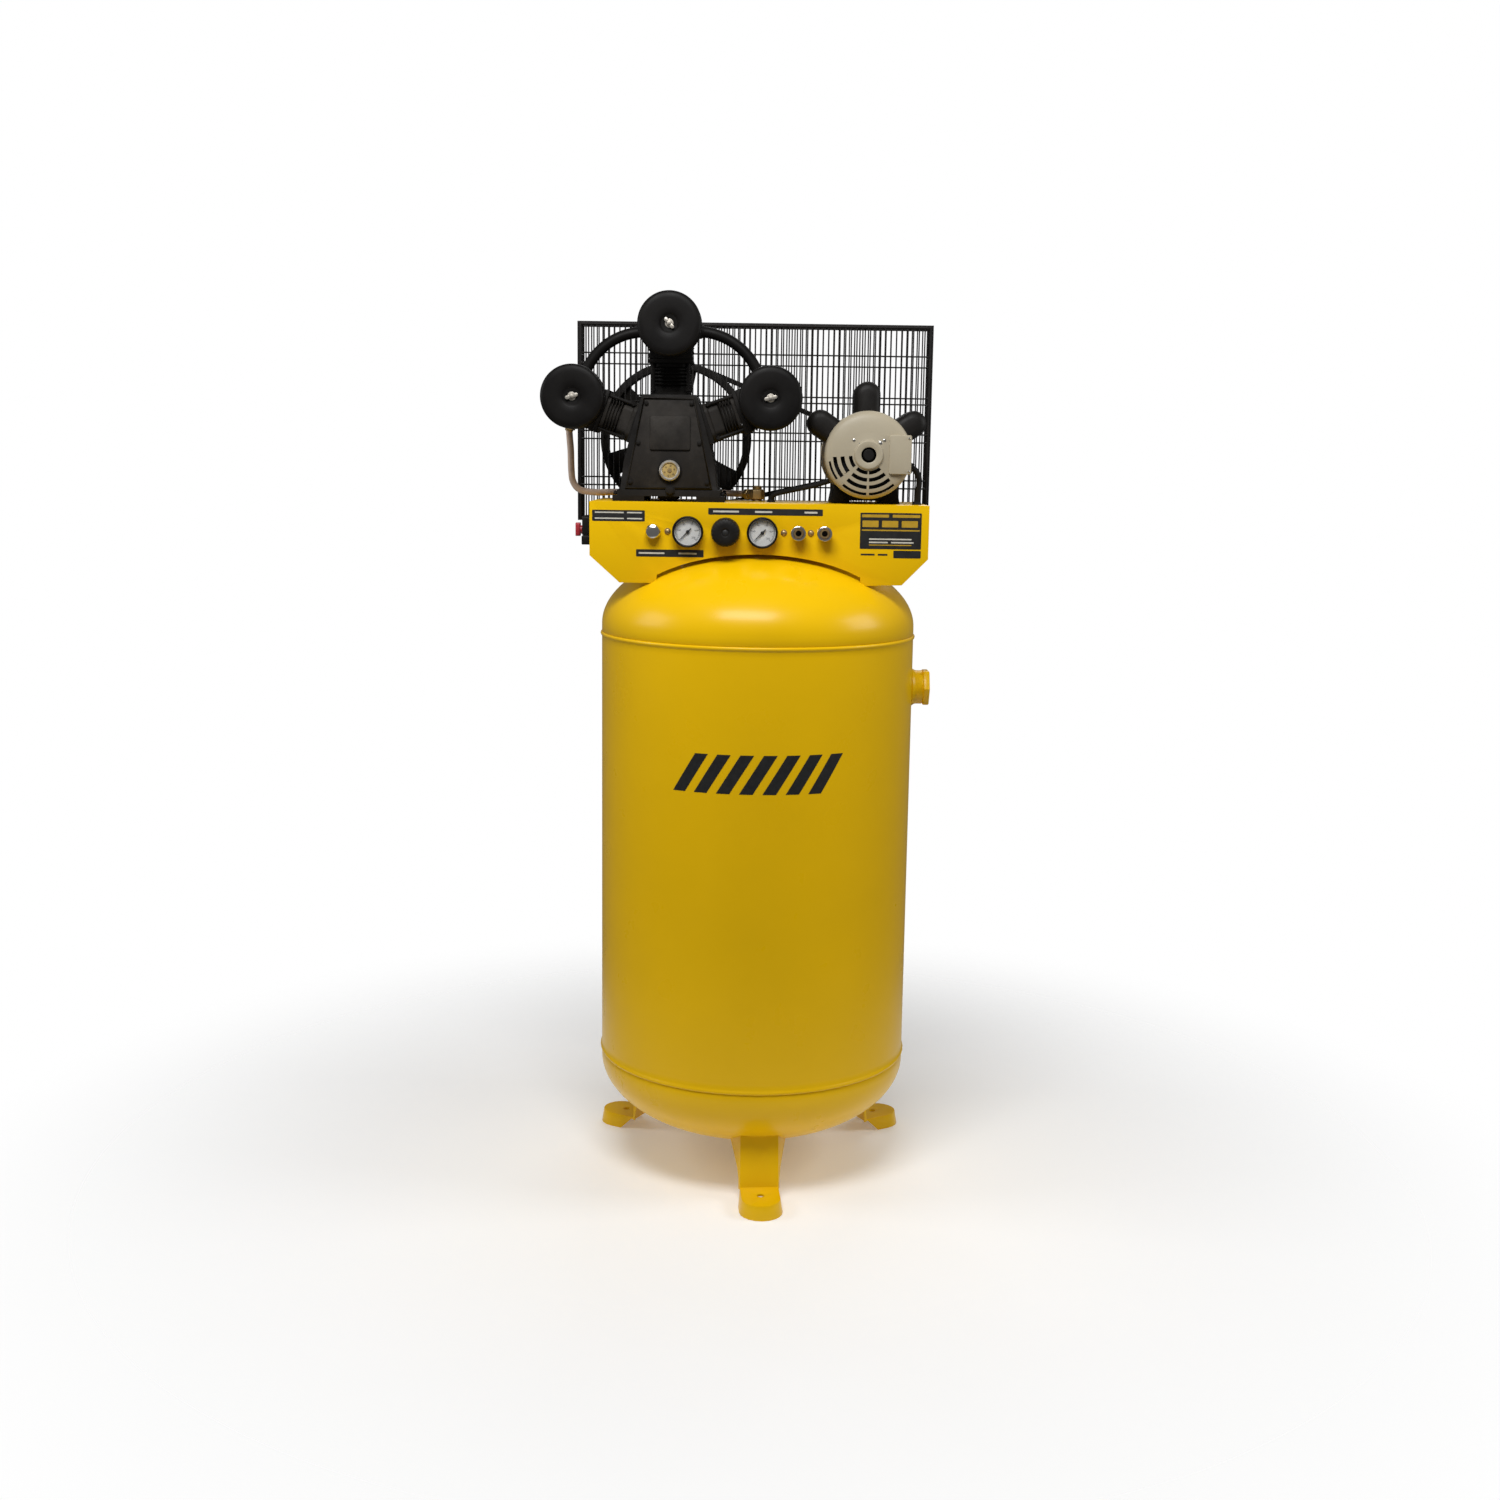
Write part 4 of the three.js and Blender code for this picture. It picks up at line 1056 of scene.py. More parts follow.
# ------------------------------------------------------------------ flywheel with fan blades
b = Build()
b.m = PUMP
WY = 187.0
b.lathe(
    [(138, WY - 15), (139.5, WY - 17), (149, WY - 17), (152.6, WY - 15.5), (153, WY - 13), (153, WY - 10.5), (151.6, WY - 9.4),
     (142.6, WY - 6.6), (142.2, WY), (142.6, WY + 6.6), (151.6, WY + 9.4), (153, WY + 10.5), (153, WY + 13), (152.6, WY + 15.5),
     (149, WY + 17), (139.5, WY + 17), (138, WY + 15)],
    "Y", seg=168, ring=True)
b.lathe([(12.6, WY - 18), (27, WY - 18), (30, WY - 15), (30, WY + 16), (27, WY + 19), (12.6, WY + 19)], "Y", seg=64, ring=True)
for i in range(6):
    ang = math.radians(60 * i + 21)
    rows = []
    for j in range(13):
        s = j / 12
        r = 27 + (140 - 27) * s
        w = 11 + 14.0 * s**1.2
        th = 5.2 - 1.0 * s
        pitch_ = math.radians(24 - 8 * s)
        bend = math.radians(2 * s * s)
        rows.append((r, w, th, pitch_, bend))
    verts = []
    m = 10
    for r, w, th, pitch_, bend in rows:
        for q in range(m):
            t = 2 * math.pi * q / m
            u, v = w * math.cos(t), th / 2 * math.sin(t) * 1.6
            u = max(-w, min(w, u * 1.05))
            tang = u * math.cos(pitch_) - v * math.sin(pitch_)
            dep = u * math.sin(pitch_) * 0.75 + v * math.cos(pitch_)
            a2 = ang + bend
            verts.append((r * math.cos(a2) - tang * math.sin(a2), WY + dep, r * math.sin(a2) + tang * math.cos(a2)))
    faces = []
    for j in range(len(rows) - 1):
        for q in range(m):
            k2 = (q + 1) % m
            faces.append((j * m + q, j * m + k2, (j + 1) * m + k2, (j + 1) * m + q))
    faces.append(tuple(reversed(range(m))))
    faces.append(tuple(range((len(rows) - 1) * m, len(rows) * m)))
    b.add(verts, faces)
b.make("flywheel_fan", IRON, body="crank", nodes=["flywheel"], slot="black_iron", angle=38)
b = Build()
b.m = PUMP
b.bolt((0, WY + 20, 0), (0, 1, 0), af=17, h=8, stud=3)
b.cyl((0, WY + 18.5, 0), (0, WY + 21, 0), 19, 36, cham=0.4)
b.make("flywheel_bolt", STEEL, body="crank", slot="steel", angle=35)
frame["nodes"]["crankshaft"].data.materials.clear()
frame["nodes"]["crankshaft"].data.materials.append(STEEL)

# ------------------------------------------------------------------ motor
MOTOR = Matrix.Translation((MOTOR_X, 0, MOTOR_Z))
b = Build()
b.m = MOTOR
b.lathe(
    [(77, -96), (79.6, -96), (80, -95.4), (80, -60), (80, -20), (80, 40), (80, 92), (80.0, 128), (81.2, 129), (81.2, 138), (79.5, 142),
     (74, 146), (40, 147), (24, 147), (22, 149.5), (10, 149.5), (10, 141), (40, 140), (77, 139)],
    "Y", seg=112, ring=True)
b.make("motor_shell_rolled", BEIGE, nodes=["motor_shell"], slot="beige_paint", angle=35)
# vent slots drawn as black patches on the shell: painted shade of the openings
b = Build()
b.m = MOTOR
for i in range(16):
    t = math.radians(i * 22.5 + 5)
    if math.sin(t) > 0.5:
        continue
    c, s = math.cos(t), math.sin(t)
    keep = b.m.copy()
    b.m = keep @ Matrix.Rotation(-t, 4, "Y")
    b.box(80.0, 80.5, 98, 122, -4, 4)
    b.m = keep
b.make("motor_shell_vent_shade", INK, slot="beige_paint", angle=35)

# front end bell, vented
b = Build()
b.m = MOTOR
b.lathe(
    [(78, -96.3), (81.2, -96.3), (81.5, -97.2), (81.5, -109), (80.6, -113.5), (78.4, -117.6), (74.6, -120.8), (68, -123.2),
     (58, -125.2), (44, -126.8), (31, -127.6), (27.6, -128.4), (26.4, -131.6), (24.6, -132.8), (16, -133), (14.2, -132), (14.2, -122.6),
     (30, -122.4), (46, -121.6), (60, -119.8), (70, -116.6), (75.6, -112), (78, -107)],
    "Y", seg=144, ring=True)
bell = b.make("motor_bell_vented", BEIGE, nodes=["motor_front_bell"], slot="beige_paint", angle=32)
cutter = Build()
cutter.m = MOTOR


def slot_arc(r0, r1, a0, a1):
    n = max(4, int(abs(a1 - a0) / 4))
    pts = arc(0, 0, r0, a0, a1, n) + arc(0, 0, r1, a1, a0, n)
    cutter.prism(pts, -140, -104, "XZ")


for r0, r1 in ((30.5, 37.0), (45.0, 52.5), (59.5, 66.5)):
    slot_arc(r0, r1, 184, 220)
slot_arc(71.2, 75.2, 190, 218)
for r0, r1 in ((29.5, 36.0), (42.5, 49.5), (56.0, 63.0), (69.8, 74.6)):
    slot_arc(r0, r1, 230, 268)
    slot_arc(r0, r1, 272, 312)
boolean(bell, cutter)
bell.data.polygons.foreach_set("use_smooth", [True] * len(bell.data.polygons))
bell.data.set_sharp_from_angle(angle=math.radians(32))

# what is dark behind the vents: a black disc as painted shade of the motor's inside, and the fan's hub
b = Build()
b.m = MOTOR
b.cur = 0
b.lathe([(0, -100), (74.5, -100), (74.5, -108), (60, -112), (20, -114), (0, -114)], "Y", seg=64)
b.cur = 1
b.lathe([(0, -113), (10.5, -113), (10.5, -129.4), (9.0, -130.6), (0, -130.8)], "Y", seg=40)
b.make("motor_inner_shade_disc_and_hub", [RUBBER, PLASTIC], slot="rubber", angle=32)

# terminal cover, screws
b = Build()
b.m = MOTOR
b.prism(rounded_rect(38, 79.5, -35, 37, 3.5), -131.5, -112, "XZ")
b.make("motor_terminal_cover", BEIGE, slot="beige_paint", bevel=1.6, bseg=3, bang=40, angle=40)
b = Build()
b.m = MOTOR
for x, z, r, y in ((-28, 27, 3.0, -126.8), (-17.5, 20, 2.2, -127.2), (21, 22.5, 3.6, -127.2), (28.5, 27.2, 3.0, -126.6),
                   (74.5, 31, 2.2, -131.3), (74.5, -29, 2.2, -131.3)):
    b.lathe([(0, y - 2.0), (r * 0.6, y - 1.9), (r, y - 1.0), (r, y + 1), (0, y + 1)], "Y", c=(x, 0, z), seg=20)
for t in (45, 135, 225, 315):
    c, s = math.cos(math.radians(t)), math.sin(math.radians(t))
    b.cyl((70 * c, 147.5, 70 * s), (70 * c, 143, 70 * s), 5.5, 18)
b.make("motor_screws", STEEL, slot="steel", angle=35)

from_cad("motor_cradle", "motor_base", BLACK, bevel=2.0, bseg=3, bang=30, angle=40, slot="black_paint")

# capacitor covers: domed pressings with rounded ends
a_, b_ = node_box("capacitor_cover_top")
for k, ang in (("top", 0.0), ("left", -56.0), ("right", 56.0)):
    b = Build()
    b.m = MOTOR @ Matrix.Rotation(math.radians(ang), 4, "Y")
    rows = []
    verts = []
    y0, y1 = a_.y + 0.5, b_.y - 0.5
    steps = [0, 0.015, 0.05, 0.11, 0.2, 0.35, 0.5, 0.65, 0.8, 0.89, 0.95, 0.985, 1.0]
    for s in steps:
        y = y0 + (y1 - y0) * s
        e = min(s, 1 - s) * (y1 - y0)
        inset = 0.0
        if e < 16:
            inset = 16 - math.sqrt(max(0.0, 16**2 - (16 - e) ** 2))
        hw = 24.6 - inset * 0.85
        top = (137.6 if k == "top" else 131.1) - inset
        pts = [(hw, 76.0), (hw, 96.0)]
        cz = top - hw
        pts += [(hw * math.cos(math.radians(q)), cz + hw * math.sin(math.radians(q))) for q in range(0, 181, 12)]
        pts += [(-hw, 96.0), (-hw, 76.0)]
        # the foot follows the shell
        pts += [(-hw * (1 - f), math.sqrt(80.9**2 - (hw * (1 - f)) ** 2)) for f in (0.0, 0.5, 1.0, 1.5, 2.0)]
        rows.append(len(pts))
        verts += [(x, y, z if z > 79 or abs(x) > 24.9 else z) for x, z in pts]
    m = rows[0]
    # first foot points sit on the shell too
    for j in range(len(rows)):
        for q in (0, m - 6):
            x, y, z = verts[j * m + q]
            verts[j * m + q] = (x, y, math.sqrt(80.9**2 - min(80.0, abs(x)) ** 2) + 0.5)
    faces = []
    for j in range(len(rows) - 1):
        for q in range(m):
            k2 = (q + 1) % m
            faces.append((j * m + q, j * m + k2, (j + 1) * m + k2, (j + 1) * m + q))
    faces.append(tuple(reversed(range(m))))
    faces.append(tuple(range((len(rows) - 1) * m, len(rows) * m)))
    b.add(verts, faces)
    b.make("capacitor_cover_" + k + "_domed", PLASTIC, nodes=["capacitor_cover_" + k], slot="black_paint", angle=60)

b = Build()
b.m = MOTOR
b.lathe(
    [(8.6, WY - 15), (20, WY - 15), (21, WY - 15), (40.5, WY - 15), (42, WY - 13.6), (42, WY - 10.4), (41, WY - 9.4), (32, WY - 6.6),
     (31.6, WY), (32, WY + 6.6), (41, WY + 9.4), (42, WY + 10.4), (42, WY + 13.6), (40.5, WY + 15), (24, WY + 15), (22, WY + 11),
     (16, WY + 11), (15, WY + 15), (8.6, WY + 15)],
    "Y", seg=96, ring=True)
b.make("motor_pulley_turned", IRON, body="motor_drive", nodes=["motor_pulley"], slot="black_iron", angle=35)
frame["nodes"]["motor_rotor"].data.materials.clear()
frame["nodes"]["motor_rotor"].data.materials.append(STEEL)

# leads
b = Build()
lead = smooth_path([(22, -20, 1322.9), (22.3, -20.2, 1328), (30, -25, 1337), (60, -37, 1345), (100, -51, 1354), (131, -60, 1363.5)], 3)
b.tube(lead, 4.6, 20)
b.cyl((22, -20, 1322.2), (22, -20, 1327), 8.0, 28, r2=6.4)
b.make("motor_lead_left", RUBBER, nodes=["motor_cable_left"], slot="rubber", angle=40)
b = Build()
lead = smooth_path([(280.5, -84, 1392), (293, -84, 1387), (301, -83, 1370), (300, -80, 1345), (298.2, -78.2, 1330), (298, -78, 1322.9)], 3)
b.tube(lead, 5.6, 20)
b.cyl((298, -78, 1322.2), (298, -78, 1328), 9.5, 28, r2=7.5)
b.hexa((282, -84, 1391.4), (289, -84, 1389), 17, cham=0.8)
b.make("motor_lead_right", RUBBER, nodes=["motor_cable_right"], slot="rubber", angle=40)

# ------------------------------------------------------------------ belt


def loop(r1, r2, n1=72, n2=28):
    dx, dz = MOTOR_X - PUMP_X, MOTOR_Z - CRANK_Z
    d = math.hypot(dx, dz)
    h = math.degrees(math.atan2(dz, dx))
    w = math.degrees(math.acos((r1 - r2) / d))
    big = arc(PUMP_X, CRANK_Z, r1, h + w, h + 360 - w, n1)
    small = arc(MOTOR_X, MOTOR_Z, r2, h - w, h + w, n2)
    out = list(big)
    p, q = big[-1], small[0]
    out += [(p[0] + (q[0] - p[0]) * i / 8, p[1] + (q[1] - p[1]) * i / 8) for i in range(1, 8)]
    out += list(small)
    p, q = small[-1], big[0]
    out += [(p[0] + (q[0] - p[0]) * i / 8, p[1] + (q[1] - p[1]) * i / 8) for i in range(1, 8)]
    return out


inner, outer = loop(143.6, 33.2), loop(153.2, 42.8)
n = len(inner)
b = Build()
verts = []
for (xi, zi), (xo, zo) in zip(inner, outer):
    verts += [(xi, WY - 4.4, zi), (xo, WY - 6.0, zo), (xo, WY + 6.0, zo), (xi, WY + 4.4, zi)]
faces = []
for i in range(n):
    j = (i + 1) % n
    for q in range(4):
        k2 = (q + 1) % 4
        faces.append((i * 4 + q, i * 4 + k2, j * 4 + k2, j * 4 + q))
b.add(verts, faces)
b.make("drive_belt", RUBBER, nodes=["v_belt"], slot="rubber", angle=35)

# ------------------------------------------------------------------ wire belt guard


def wire(bd, a, c, r=1.5, seg=8):
    bd.cyl(a, c, r, seg)


def rod_loop(bd, pts, r, seg=12):
    for i in range(len(pts)):
        p, q = Vector(pts[i]), Vector(pts[(i + 1) % len(pts)])
        d = (q - p).normalized() * r * 0.9
        bd.cyl(p - d, q + d, r, seg)


LEVELS = (1609.8, 1593.6, 1530.9, 1515.4, 1456.0, 1441.2, 1363.2, 1348.2)
a_, b_ = node_box("guard_front_panel")
fx0, fx1, fz0, fz1, fy = a_.x + 2.5, b_.x - 2.5, a_.z + 2.5, b_.z - 2.5, (158.0)
b = Build()
holes = ((PUMP_X, CRANK_Z, 62.0), (MOTOR_X, MOTOR_Z, 38.0))
n = 62
for i in range(1, n):
    x = fx0 + (fx1 - fx0) * i / n
    spans = [(fz0, fz1)]
    for hx, hz, hr in holes:
        if abs(x - hx) < hr:
            h = math.sqrt(hr**2 - (x - hx) ** 2)
            new = []
            for s0, s1 in spans:
                if hz - h > s0 and hz + h < s1:
                    new += [(s0, hz - h), (hz + h, s1)]
                else:
                    new.append((s0, s1))
            spans = new
    for s0, s1 in spans:
        wire(b, (x, fy, s0), (x, fy, s1), 1.4, 7)
for z in (LEVELS[0], LEVELS[3], LEVELS[4], LEVELS[7]):
    spans = [(fx0, fx1)]
    for hx, hz, hr in holes:
        if abs(z - hz) < hr:
            h = math.sqrt(hr**2 - (z - hz) ** 2)
            new = []
            for s0, s1 in spans:
                if hx - h > s0 and hx + h < s1:
                    new += [(s0, hx - h), (hx + h, s1)]
                else:
                    new.append((s0, s1))
            spans = new
    for s0, s1 in spans:
        wire(b, (s0, fy - 2.3, z), (s1, fy - 2.3, z), 1.5, 8)
rod_loop(b, [(fx0, fy, fz0), (fx1, fy, fz0), (fx1, fy, fz1), (fx0, fy, fz1)], 2.4)
for hx, hz, hr in holes:
    ring = [(x, fy - 1.2, z) for x, z in arc(hx, hz, hr, 0, 360, 48)[:-1]]
    b.tube(ring, 2.2, 10, closed=True)
for x in (-250, 250):
    b.box(x - 12, x + 12, 150.3, 152.3, 1281, 1306)
    b.box(x - 12, x + 12, 150.3, 158.5, 1281, 1283)
    b.bolt((x, 150.5, 1297), (0, -1, 0), af=9, h=1, stud=0)
b.make("guard_front_wires", WIRE, nodes=["guard_front_panel"], slot="guard_wire", angle=50)

a_, b_ = node_box("guard_basket")
gx0, gx1, gz0, gz1 = a_.x + 2.5, b_.x - 2.5, a_.z + 2.5, b_.z - 2.5
gy0, gy1 = a_.y + 2.6, b_.y - 2.6
b = Build()
n = 66
for i in range(1, n):
    x = gx0 + (gx1 - gx0) * i / n
    wire(b, (x, gy1, gz0), (x, gy1, gz1), 1.4, 7)
for z in (LEVELS[1], LEVELS[2], LEVELS[5], LEVELS[6]):
    wire(b, (gx0, gy1 - 2.3, z), (gx1, gy1 - 2.3, z), 1.5, 8)
    wire(b, (gx0 + 0.2, gy0, z), (gx0 + 0.2, gy1, z), 1.5, 8)
    wire(b, (gx1 - 0.2, gy0, z), (gx1 - 0.2, gy1, z), 1.5, 8)
for z in (LEVELS[0], LEVELS[3], LEVELS[4], LEVELS[7]):
    wire(b, (gx0 + 0.2, gy0, z), (gx0 + 0.2, gy1, z), 1.5, 8)
    wire(b, (gx1 - 0.2, gy0, z), (gx1 - 0.2, gy1, z), 1.5, 8)
n = 54
for i in range(1, n):
    x = gx0 + (gx1 - gx0) * i / n
    for z in (gz1, gz0):
        wire(b, (x, gy0, z), (x, gy1, z), 1.4, 7)
for i in range(1, 8):
    y = gy0 + (gy1 - gy0) * i / 8
    if i in (3, 6):
        for z in (gz1 - 2.3, gz0 + 2.3):
            wire(b, (gx0, y, z), (gx1, y, z), 1.5, 8)
    for x in (gx0, gx1):
        wire(b, (x, y, gz0), (x, y, gz1), 1.4, 7)
rod_loop(b, [(gx0, gy1, gz0), (gx1, gy1, gz0), (gx1, gy1, gz1), (gx0, gy1, gz1)], 2.4)
rod_loop(b, [(gx0, gy0, gz0), (gx1, gy0, gz0), (gx1, gy0, gz1), (gx0, gy0, gz1)], 2.4)
for x in (gx0, gx1):
    for z in (gz0, gz1):
        b.cyl((x, gy0, z), (x, gy1, z), 2.4, 12)
b.make("guard_basket_wires", WIRE, nodes=["guard_basket"], slot="guard_wire", angle=50)

# ------------------------------------------------------------------ gauges
for k in ("tank", "outlet"):
    gx = JOINT["needle_" + k + "_swing"]["pos_m"][0] * 1000 - FX
    G = Matrix.Translation((gx, 0, PZ))
    b = Build()
    b.m = G
    b.lathe(
        [(0, -128), (7, -128), (7, -150.3), (25, -150.3), (28.2, -151.5), (28.6, -153), (28.6, -164), (29, -165), (29, -169), (28.3, -171),
         (26.8, -171.9), (25.6, -171.4), (25.2, -170), (25.2, -160.6), (0, -160.6)],
        "Y", seg=88)
    b.make("gauge_" + k + "_case", BLACK, nodes=["gauge_" + k], slot="gauge_case", angle=34)
    b = Build()
    b.m = G
    b.cur = 0
    b.lathe([(0, -160.4), (25.0, -160.4), (25.0, -161.6), (0, -161.6)], "Y", seg=72)
    b.cur = 1
    for i in range(51):
        t = math.radians(225 - 270 * i / 50)
        long = i % 10 == 0
        mid = i % 5 == 0
        r1, r0 = 22.6, 22.6 - (4.4 if long else 3.0 if mid else 1.9)
        w = 0.42 if long else 0.28
        c, s = math.cos(t), math.sin(t)
        pts = [(r0 * c - w * s, r0 * s + w * c), (r1 * c - w * s, r1 * s + w * c), (r1 * c + w * s, r1 * s - w * c), (r0 * c + w * s, r0 * s - w * c)]
        b.prism(pts, -161.75, -161.5, "XZ")
    ring = arc(0, 0, 22.9, -45, 225, 60) + arc(0, 0, 23.3, 225, -45, 60)
    b.prism(ring, -161.75, -161.5, "XZ")
    b.make("gauge_" + k + "_dial", [DIAL, INK], slot="gauge_case", angle=34)
    # figures on the dial
    for i in range(6):
        t = math.radians(225 - 270 * i / 5)
        cu = bpy.data.curves.new(f"figure_{k}_{i}", "FONT")
        cu.body = str(i * 40)
        cu.size = 0.0046
        cu.align_x = "CENTER"
        cu.align_y = "CENTER"
        cu.extrude = 0.0001
        o = bpy.data.objects.new(f"figure_{k}_{i}", cu)
        bpy.context.scene.collection.objects.link(o)
        o.matrix_world = (
            Matrix.Translation(TO_ROW @ Vector((gx + 15.2 * math.cos(t), -161.7, PZ + 15.2 * math.sin(t))))
            @ Matrix.Rotation(math.radians(90), 4, "X")
        )
        bpy.context.view_layer.update()
        dg = bpy.context.evaluated_depsgraph_get()
        me = bpy.data.meshes.new_from_object(o.evaluated_get(dg))
        me.transform(o.matrix_world)
        bpy.data.objects.remove(o)
        o = bpy.data.objects.new(f"gauge_{k}_figure_{i}", me)
        bpy.context.scene.collection.objects.link(o)
        me.materials.clear()
        me.materials.append(INK)
        bm = bmesh.new()
        bm.from_mesh(me)
        bmesh.ops.remove_doubles(bm, verts=bm.verts, dist=1e-7)
        bmesh.ops.recalc_face_normals(bm, faces=bm.faces)
        bm.to_mesh(me)
        bm.free()
        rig.ride(o, ROOT)
        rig.slot(o, "gauge_case")
    # pointer at rest towards the lower left
    b = Build()
    b.m = G @ Matrix.Rotation(math.radians(225), 4, "Y")
    b.lathe([(0, -163.3), (3.2, -163.3), (3.2, -164.6), (2.4, -165.4), (0, -165.6)], "Y", seg=32)
    b.prism([(-0.9, -9), (0.9, -9), (1.3, -2), (0.35, 20.5), (-0.35, 20.5), (-1.3, -2)], -165.0, -164.2, "XZ")
    b.make("gauge_" + k + "_pointer", INK, body="gauge_" + k + "_needle", nodes=["needle_" + k], slot="needle_black", angle=35)
    b = Build()
    b.m = G
    b.lathe([(0, -168.4), (25.0, -168.2), (25.0, -169.4), (12, -170.0), (0, -170.2)], "Y", seg=64)
    b.make("gauge_" + k + "_glass", GLASS, slot="gauge_case", angle=50)

# ------------------------------------------------------------------ regulator knob
kx = JOINT["regulator_turn"]["pos_m"][0] * 1000 - FX
b = Build()
b.m = Matrix.Translation((kx, 0, PZ))
b.cur = 0


def grip(r, h, t):
    if r > 22 and h < -156:
        return 1 - 0.035 * max(0.0, math.cos(20 * t)) ** 2
    return 1.0


b.lathe(
    [(0, -129.5), (6, -129.5), (6, -153), (25, -153), (26.6, -154), (27, -156), (27, -160), (26.8, -164), (26.4, -170), (26.0, -177),
     (25.4, -181), (24.0, -184), (21, -185.6), (14, -186), (8.5, -185.8), (7.0, -184.6), (0, -184.4)],
    "Y", seg=240, shape=grip)
# a black disc in the knob's centre recess: painted shade of the recess
b.cur = 1
b.lathe([(0, -184.2), (5.0, -184.2), (5.0, -185.0), (3.6, -185.5), (0, -185.6)], "Y", seg=32)
b.make("regulator_knob_grip", [PLASTIC, INK], body="regulator", nodes=["regulator_knob"], slot="black_plastic", angle=35)

# ------------------------------------------------------------------ outlets
for k in ("left", "right"):
    a_, b_ = node_box("coupler_" + k)
    ox = (a_.x + b_.x) / 2
    b = Build()
    b.m = Matrix.Translation((ox, 0, PZ))
    b.lathe(
        [(0, -128), (7, -128), (7, -150.3), (9.6, -150.5), (9.6, -156.4), (8.8, -157.5), (8.8, -174.5), (8.2, -176), (6.2, -176), (5.5, -175),
         (5.5, -148), (0, -148)],
        "Y", seg=48)
    # a black disc at the bottom of the bore: painted shade in the hole
    b.cur = 1
    b.cyl((0, -147.9, 0), (0, -150.0, 0), 5.4, 32, cham=0.3)
    b.make("coupler_" + k + "_barrel", [BRASS, INK], nodes=["coupler_" + k], slot="brass", angle=34)
    b = Build()
    b.m = Matrix.Translation((ox, 0, PZ))
    r = 22.4 / math.sqrt(3)
    hexring = [(r * math.cos(math.radians(60 * i + 30)), r * math.sin(math.radians(60 * i + 30))) for i in range(6)]
    hole = [(9.7 * math.cos(math.radians(60 * i + 30)), 9.7 * math.sin(math.radians(60 * i + 30))) for i in range(6)]
    verts = [(x, y, z) for y in (-150.4, -157.0) for x, z in hexring + hole]
    faces = []
    for i in range(6):
        j = (i + 1) % 6
        faces += [(i, j, 12 + j, 12 + i), (6 + i, 18 + i, 18 + j, 6 + j), (i, 6 + i, 6 + j, j), (12 + i, 12 + j, 18 + j, 18 + i)]
    b.add(verts, faces)
    b.make("coupler_" + k + "_nut", BRASS, slot="brass", bevel=0.5, angle=35)
    b = Build()
    b.m = Matrix.Translation((ox, 0, PZ))
    b.lathe(
        [(9.8, -164), (13.2, -164), (14.2, -165), (14.2, -167), (13.3, -167.8), (14.2, -168.6), (13.3, -169.4), (14.2, -170.2), (13.3, -171.0),
         (14.2, -171.8), (14.2, -175), (13.4, -176.4), (12.2, -177), (9.8, -177)],
        "Y", seg=72, ring=True)
    b.make("coupler_" + k + "_collar", CHROME, body="sleeve_" + k, nodes=["coupler_sleeve_" + k], slot="chrome", angle=30)

a_, b_ = node_box("outlet_plug")
ox = (a_.x + b_.x) / 2
b = Build()
b.m = Matrix.Translation((ox, 0, PZ))
b.cur = 0
b.cyl((0, -128, 0), (0, -151, 0), 7, 24)
b.hexa((0, -150.4, 0), (0, -158, 0), 22.4, cham=0.8)
b.cur = 1
b.lathe(
    [(0, -157), (12.6, -157), (14.0, -158), (14.2, -160), (13.6, -162.5), (14.2, -163.4), (13.8, -166), (12.2, -169.6), (8.8, -171.6), (4, -172.4), (0, -172.6)],
    "Y", seg=64)
b.make("outlet_plug_capped", [BRASS, CHROME], nodes=["outlet_plug"], slot="chrome", bevel=0.3, bang=50, angle=35)

from_cad("air_manifold_bar", "air_manifold", STEEL, bevel=1.2, bseg=2, bang=30, angle=40, slot="steel")

# ------------------------------------------------------------------ pressure switch
a_, b_ = node_box("pressure_switch")
b = Build()
b.prism(rounded_rect(a_.y, b_.y, a_.z, a_.z + 17, 3, 4), a_.x, b_.x, "YZ")
b.prism(rounded_rect(a_.y + 1.2, b_.y - 1.2, a_.z + 17.6, b_.z, 5, 4), a_.x + 1.0, b_.x - 1.0, "YZ")
b.box(a_.x + 2, b_.x - 2, a_.y + 3, b_.y - 3, a_.z + 15, a_.z + 19)
b.make("pressure_switch_case", PLASTIC, nodes=["pressure_switch"], slot="black_plastic", bevel=1.4, bseg=3, bang=40, angle=40)
a_, b_ = node_box("switch_lever")
b = Build()
jy, jz = JOINT["switch_lever_turn"]["pos_m"][1] * 1000 - FY, JOINT["switch_lever_turn"]["pos_m"][2] * 1000
b.cyl((b_.x, jy, jz), (a_.x + 6.5, jy, jz), 8, 32, cham=0.4)
b.prism(rounded_rect(a_.y, b_.y, a_.z, b_.z, 3, 4), a_.x, a_.x + 8, "YZ")
b.make("switch_lever_red", RED, body="lever", nodes=["switch_lever"], slot="red_plastic", bevel=0.8, bseg=2, angle=40)

# ------------------------------------------------------------------ safety valve
b = Build()
a_, b_ = node_box("safety_valve")
vx, vy = (a_.x + b_.x) / 2, (a_.y + b_.y) / 2
b.cyl((vx, vy, a_.z + 0.5), (vx, vy, 1250), 8, 32)
b.hexa((vx, vy, 1249), (vx, vy, 1256), 22, cham=0.8)
b.lathe([(0, 1255), (9.4, 1255), (10, 1257), (10, 1266), (9.2, 1267), (9.8, 1268), (9.8, 1275), (8, 1278), (0, 1278)], "Z", c=(vx, vy, 0), seg=44)
b.make("safety_valve_brass", BRASS, nodes=["safety_valve"], slot="brass", angle=38)
b = Build()
b.cyl((vx, vy, 1278.4), (vx, vy, 1288.6), 2.4, 18)
ring = [(vx + 9 * math.cos(math.radians(q)), vy, 1296 + 9 * math.sin(math.radians(q))) for q in range(0, 360, 10)]
b.tube(ring, 1.5, 12, closed=True)
b.make("safety_valve_pull", STEEL, body="safety_ring", nodes=["safety_valve_ring"], slot="steel", angle=50)

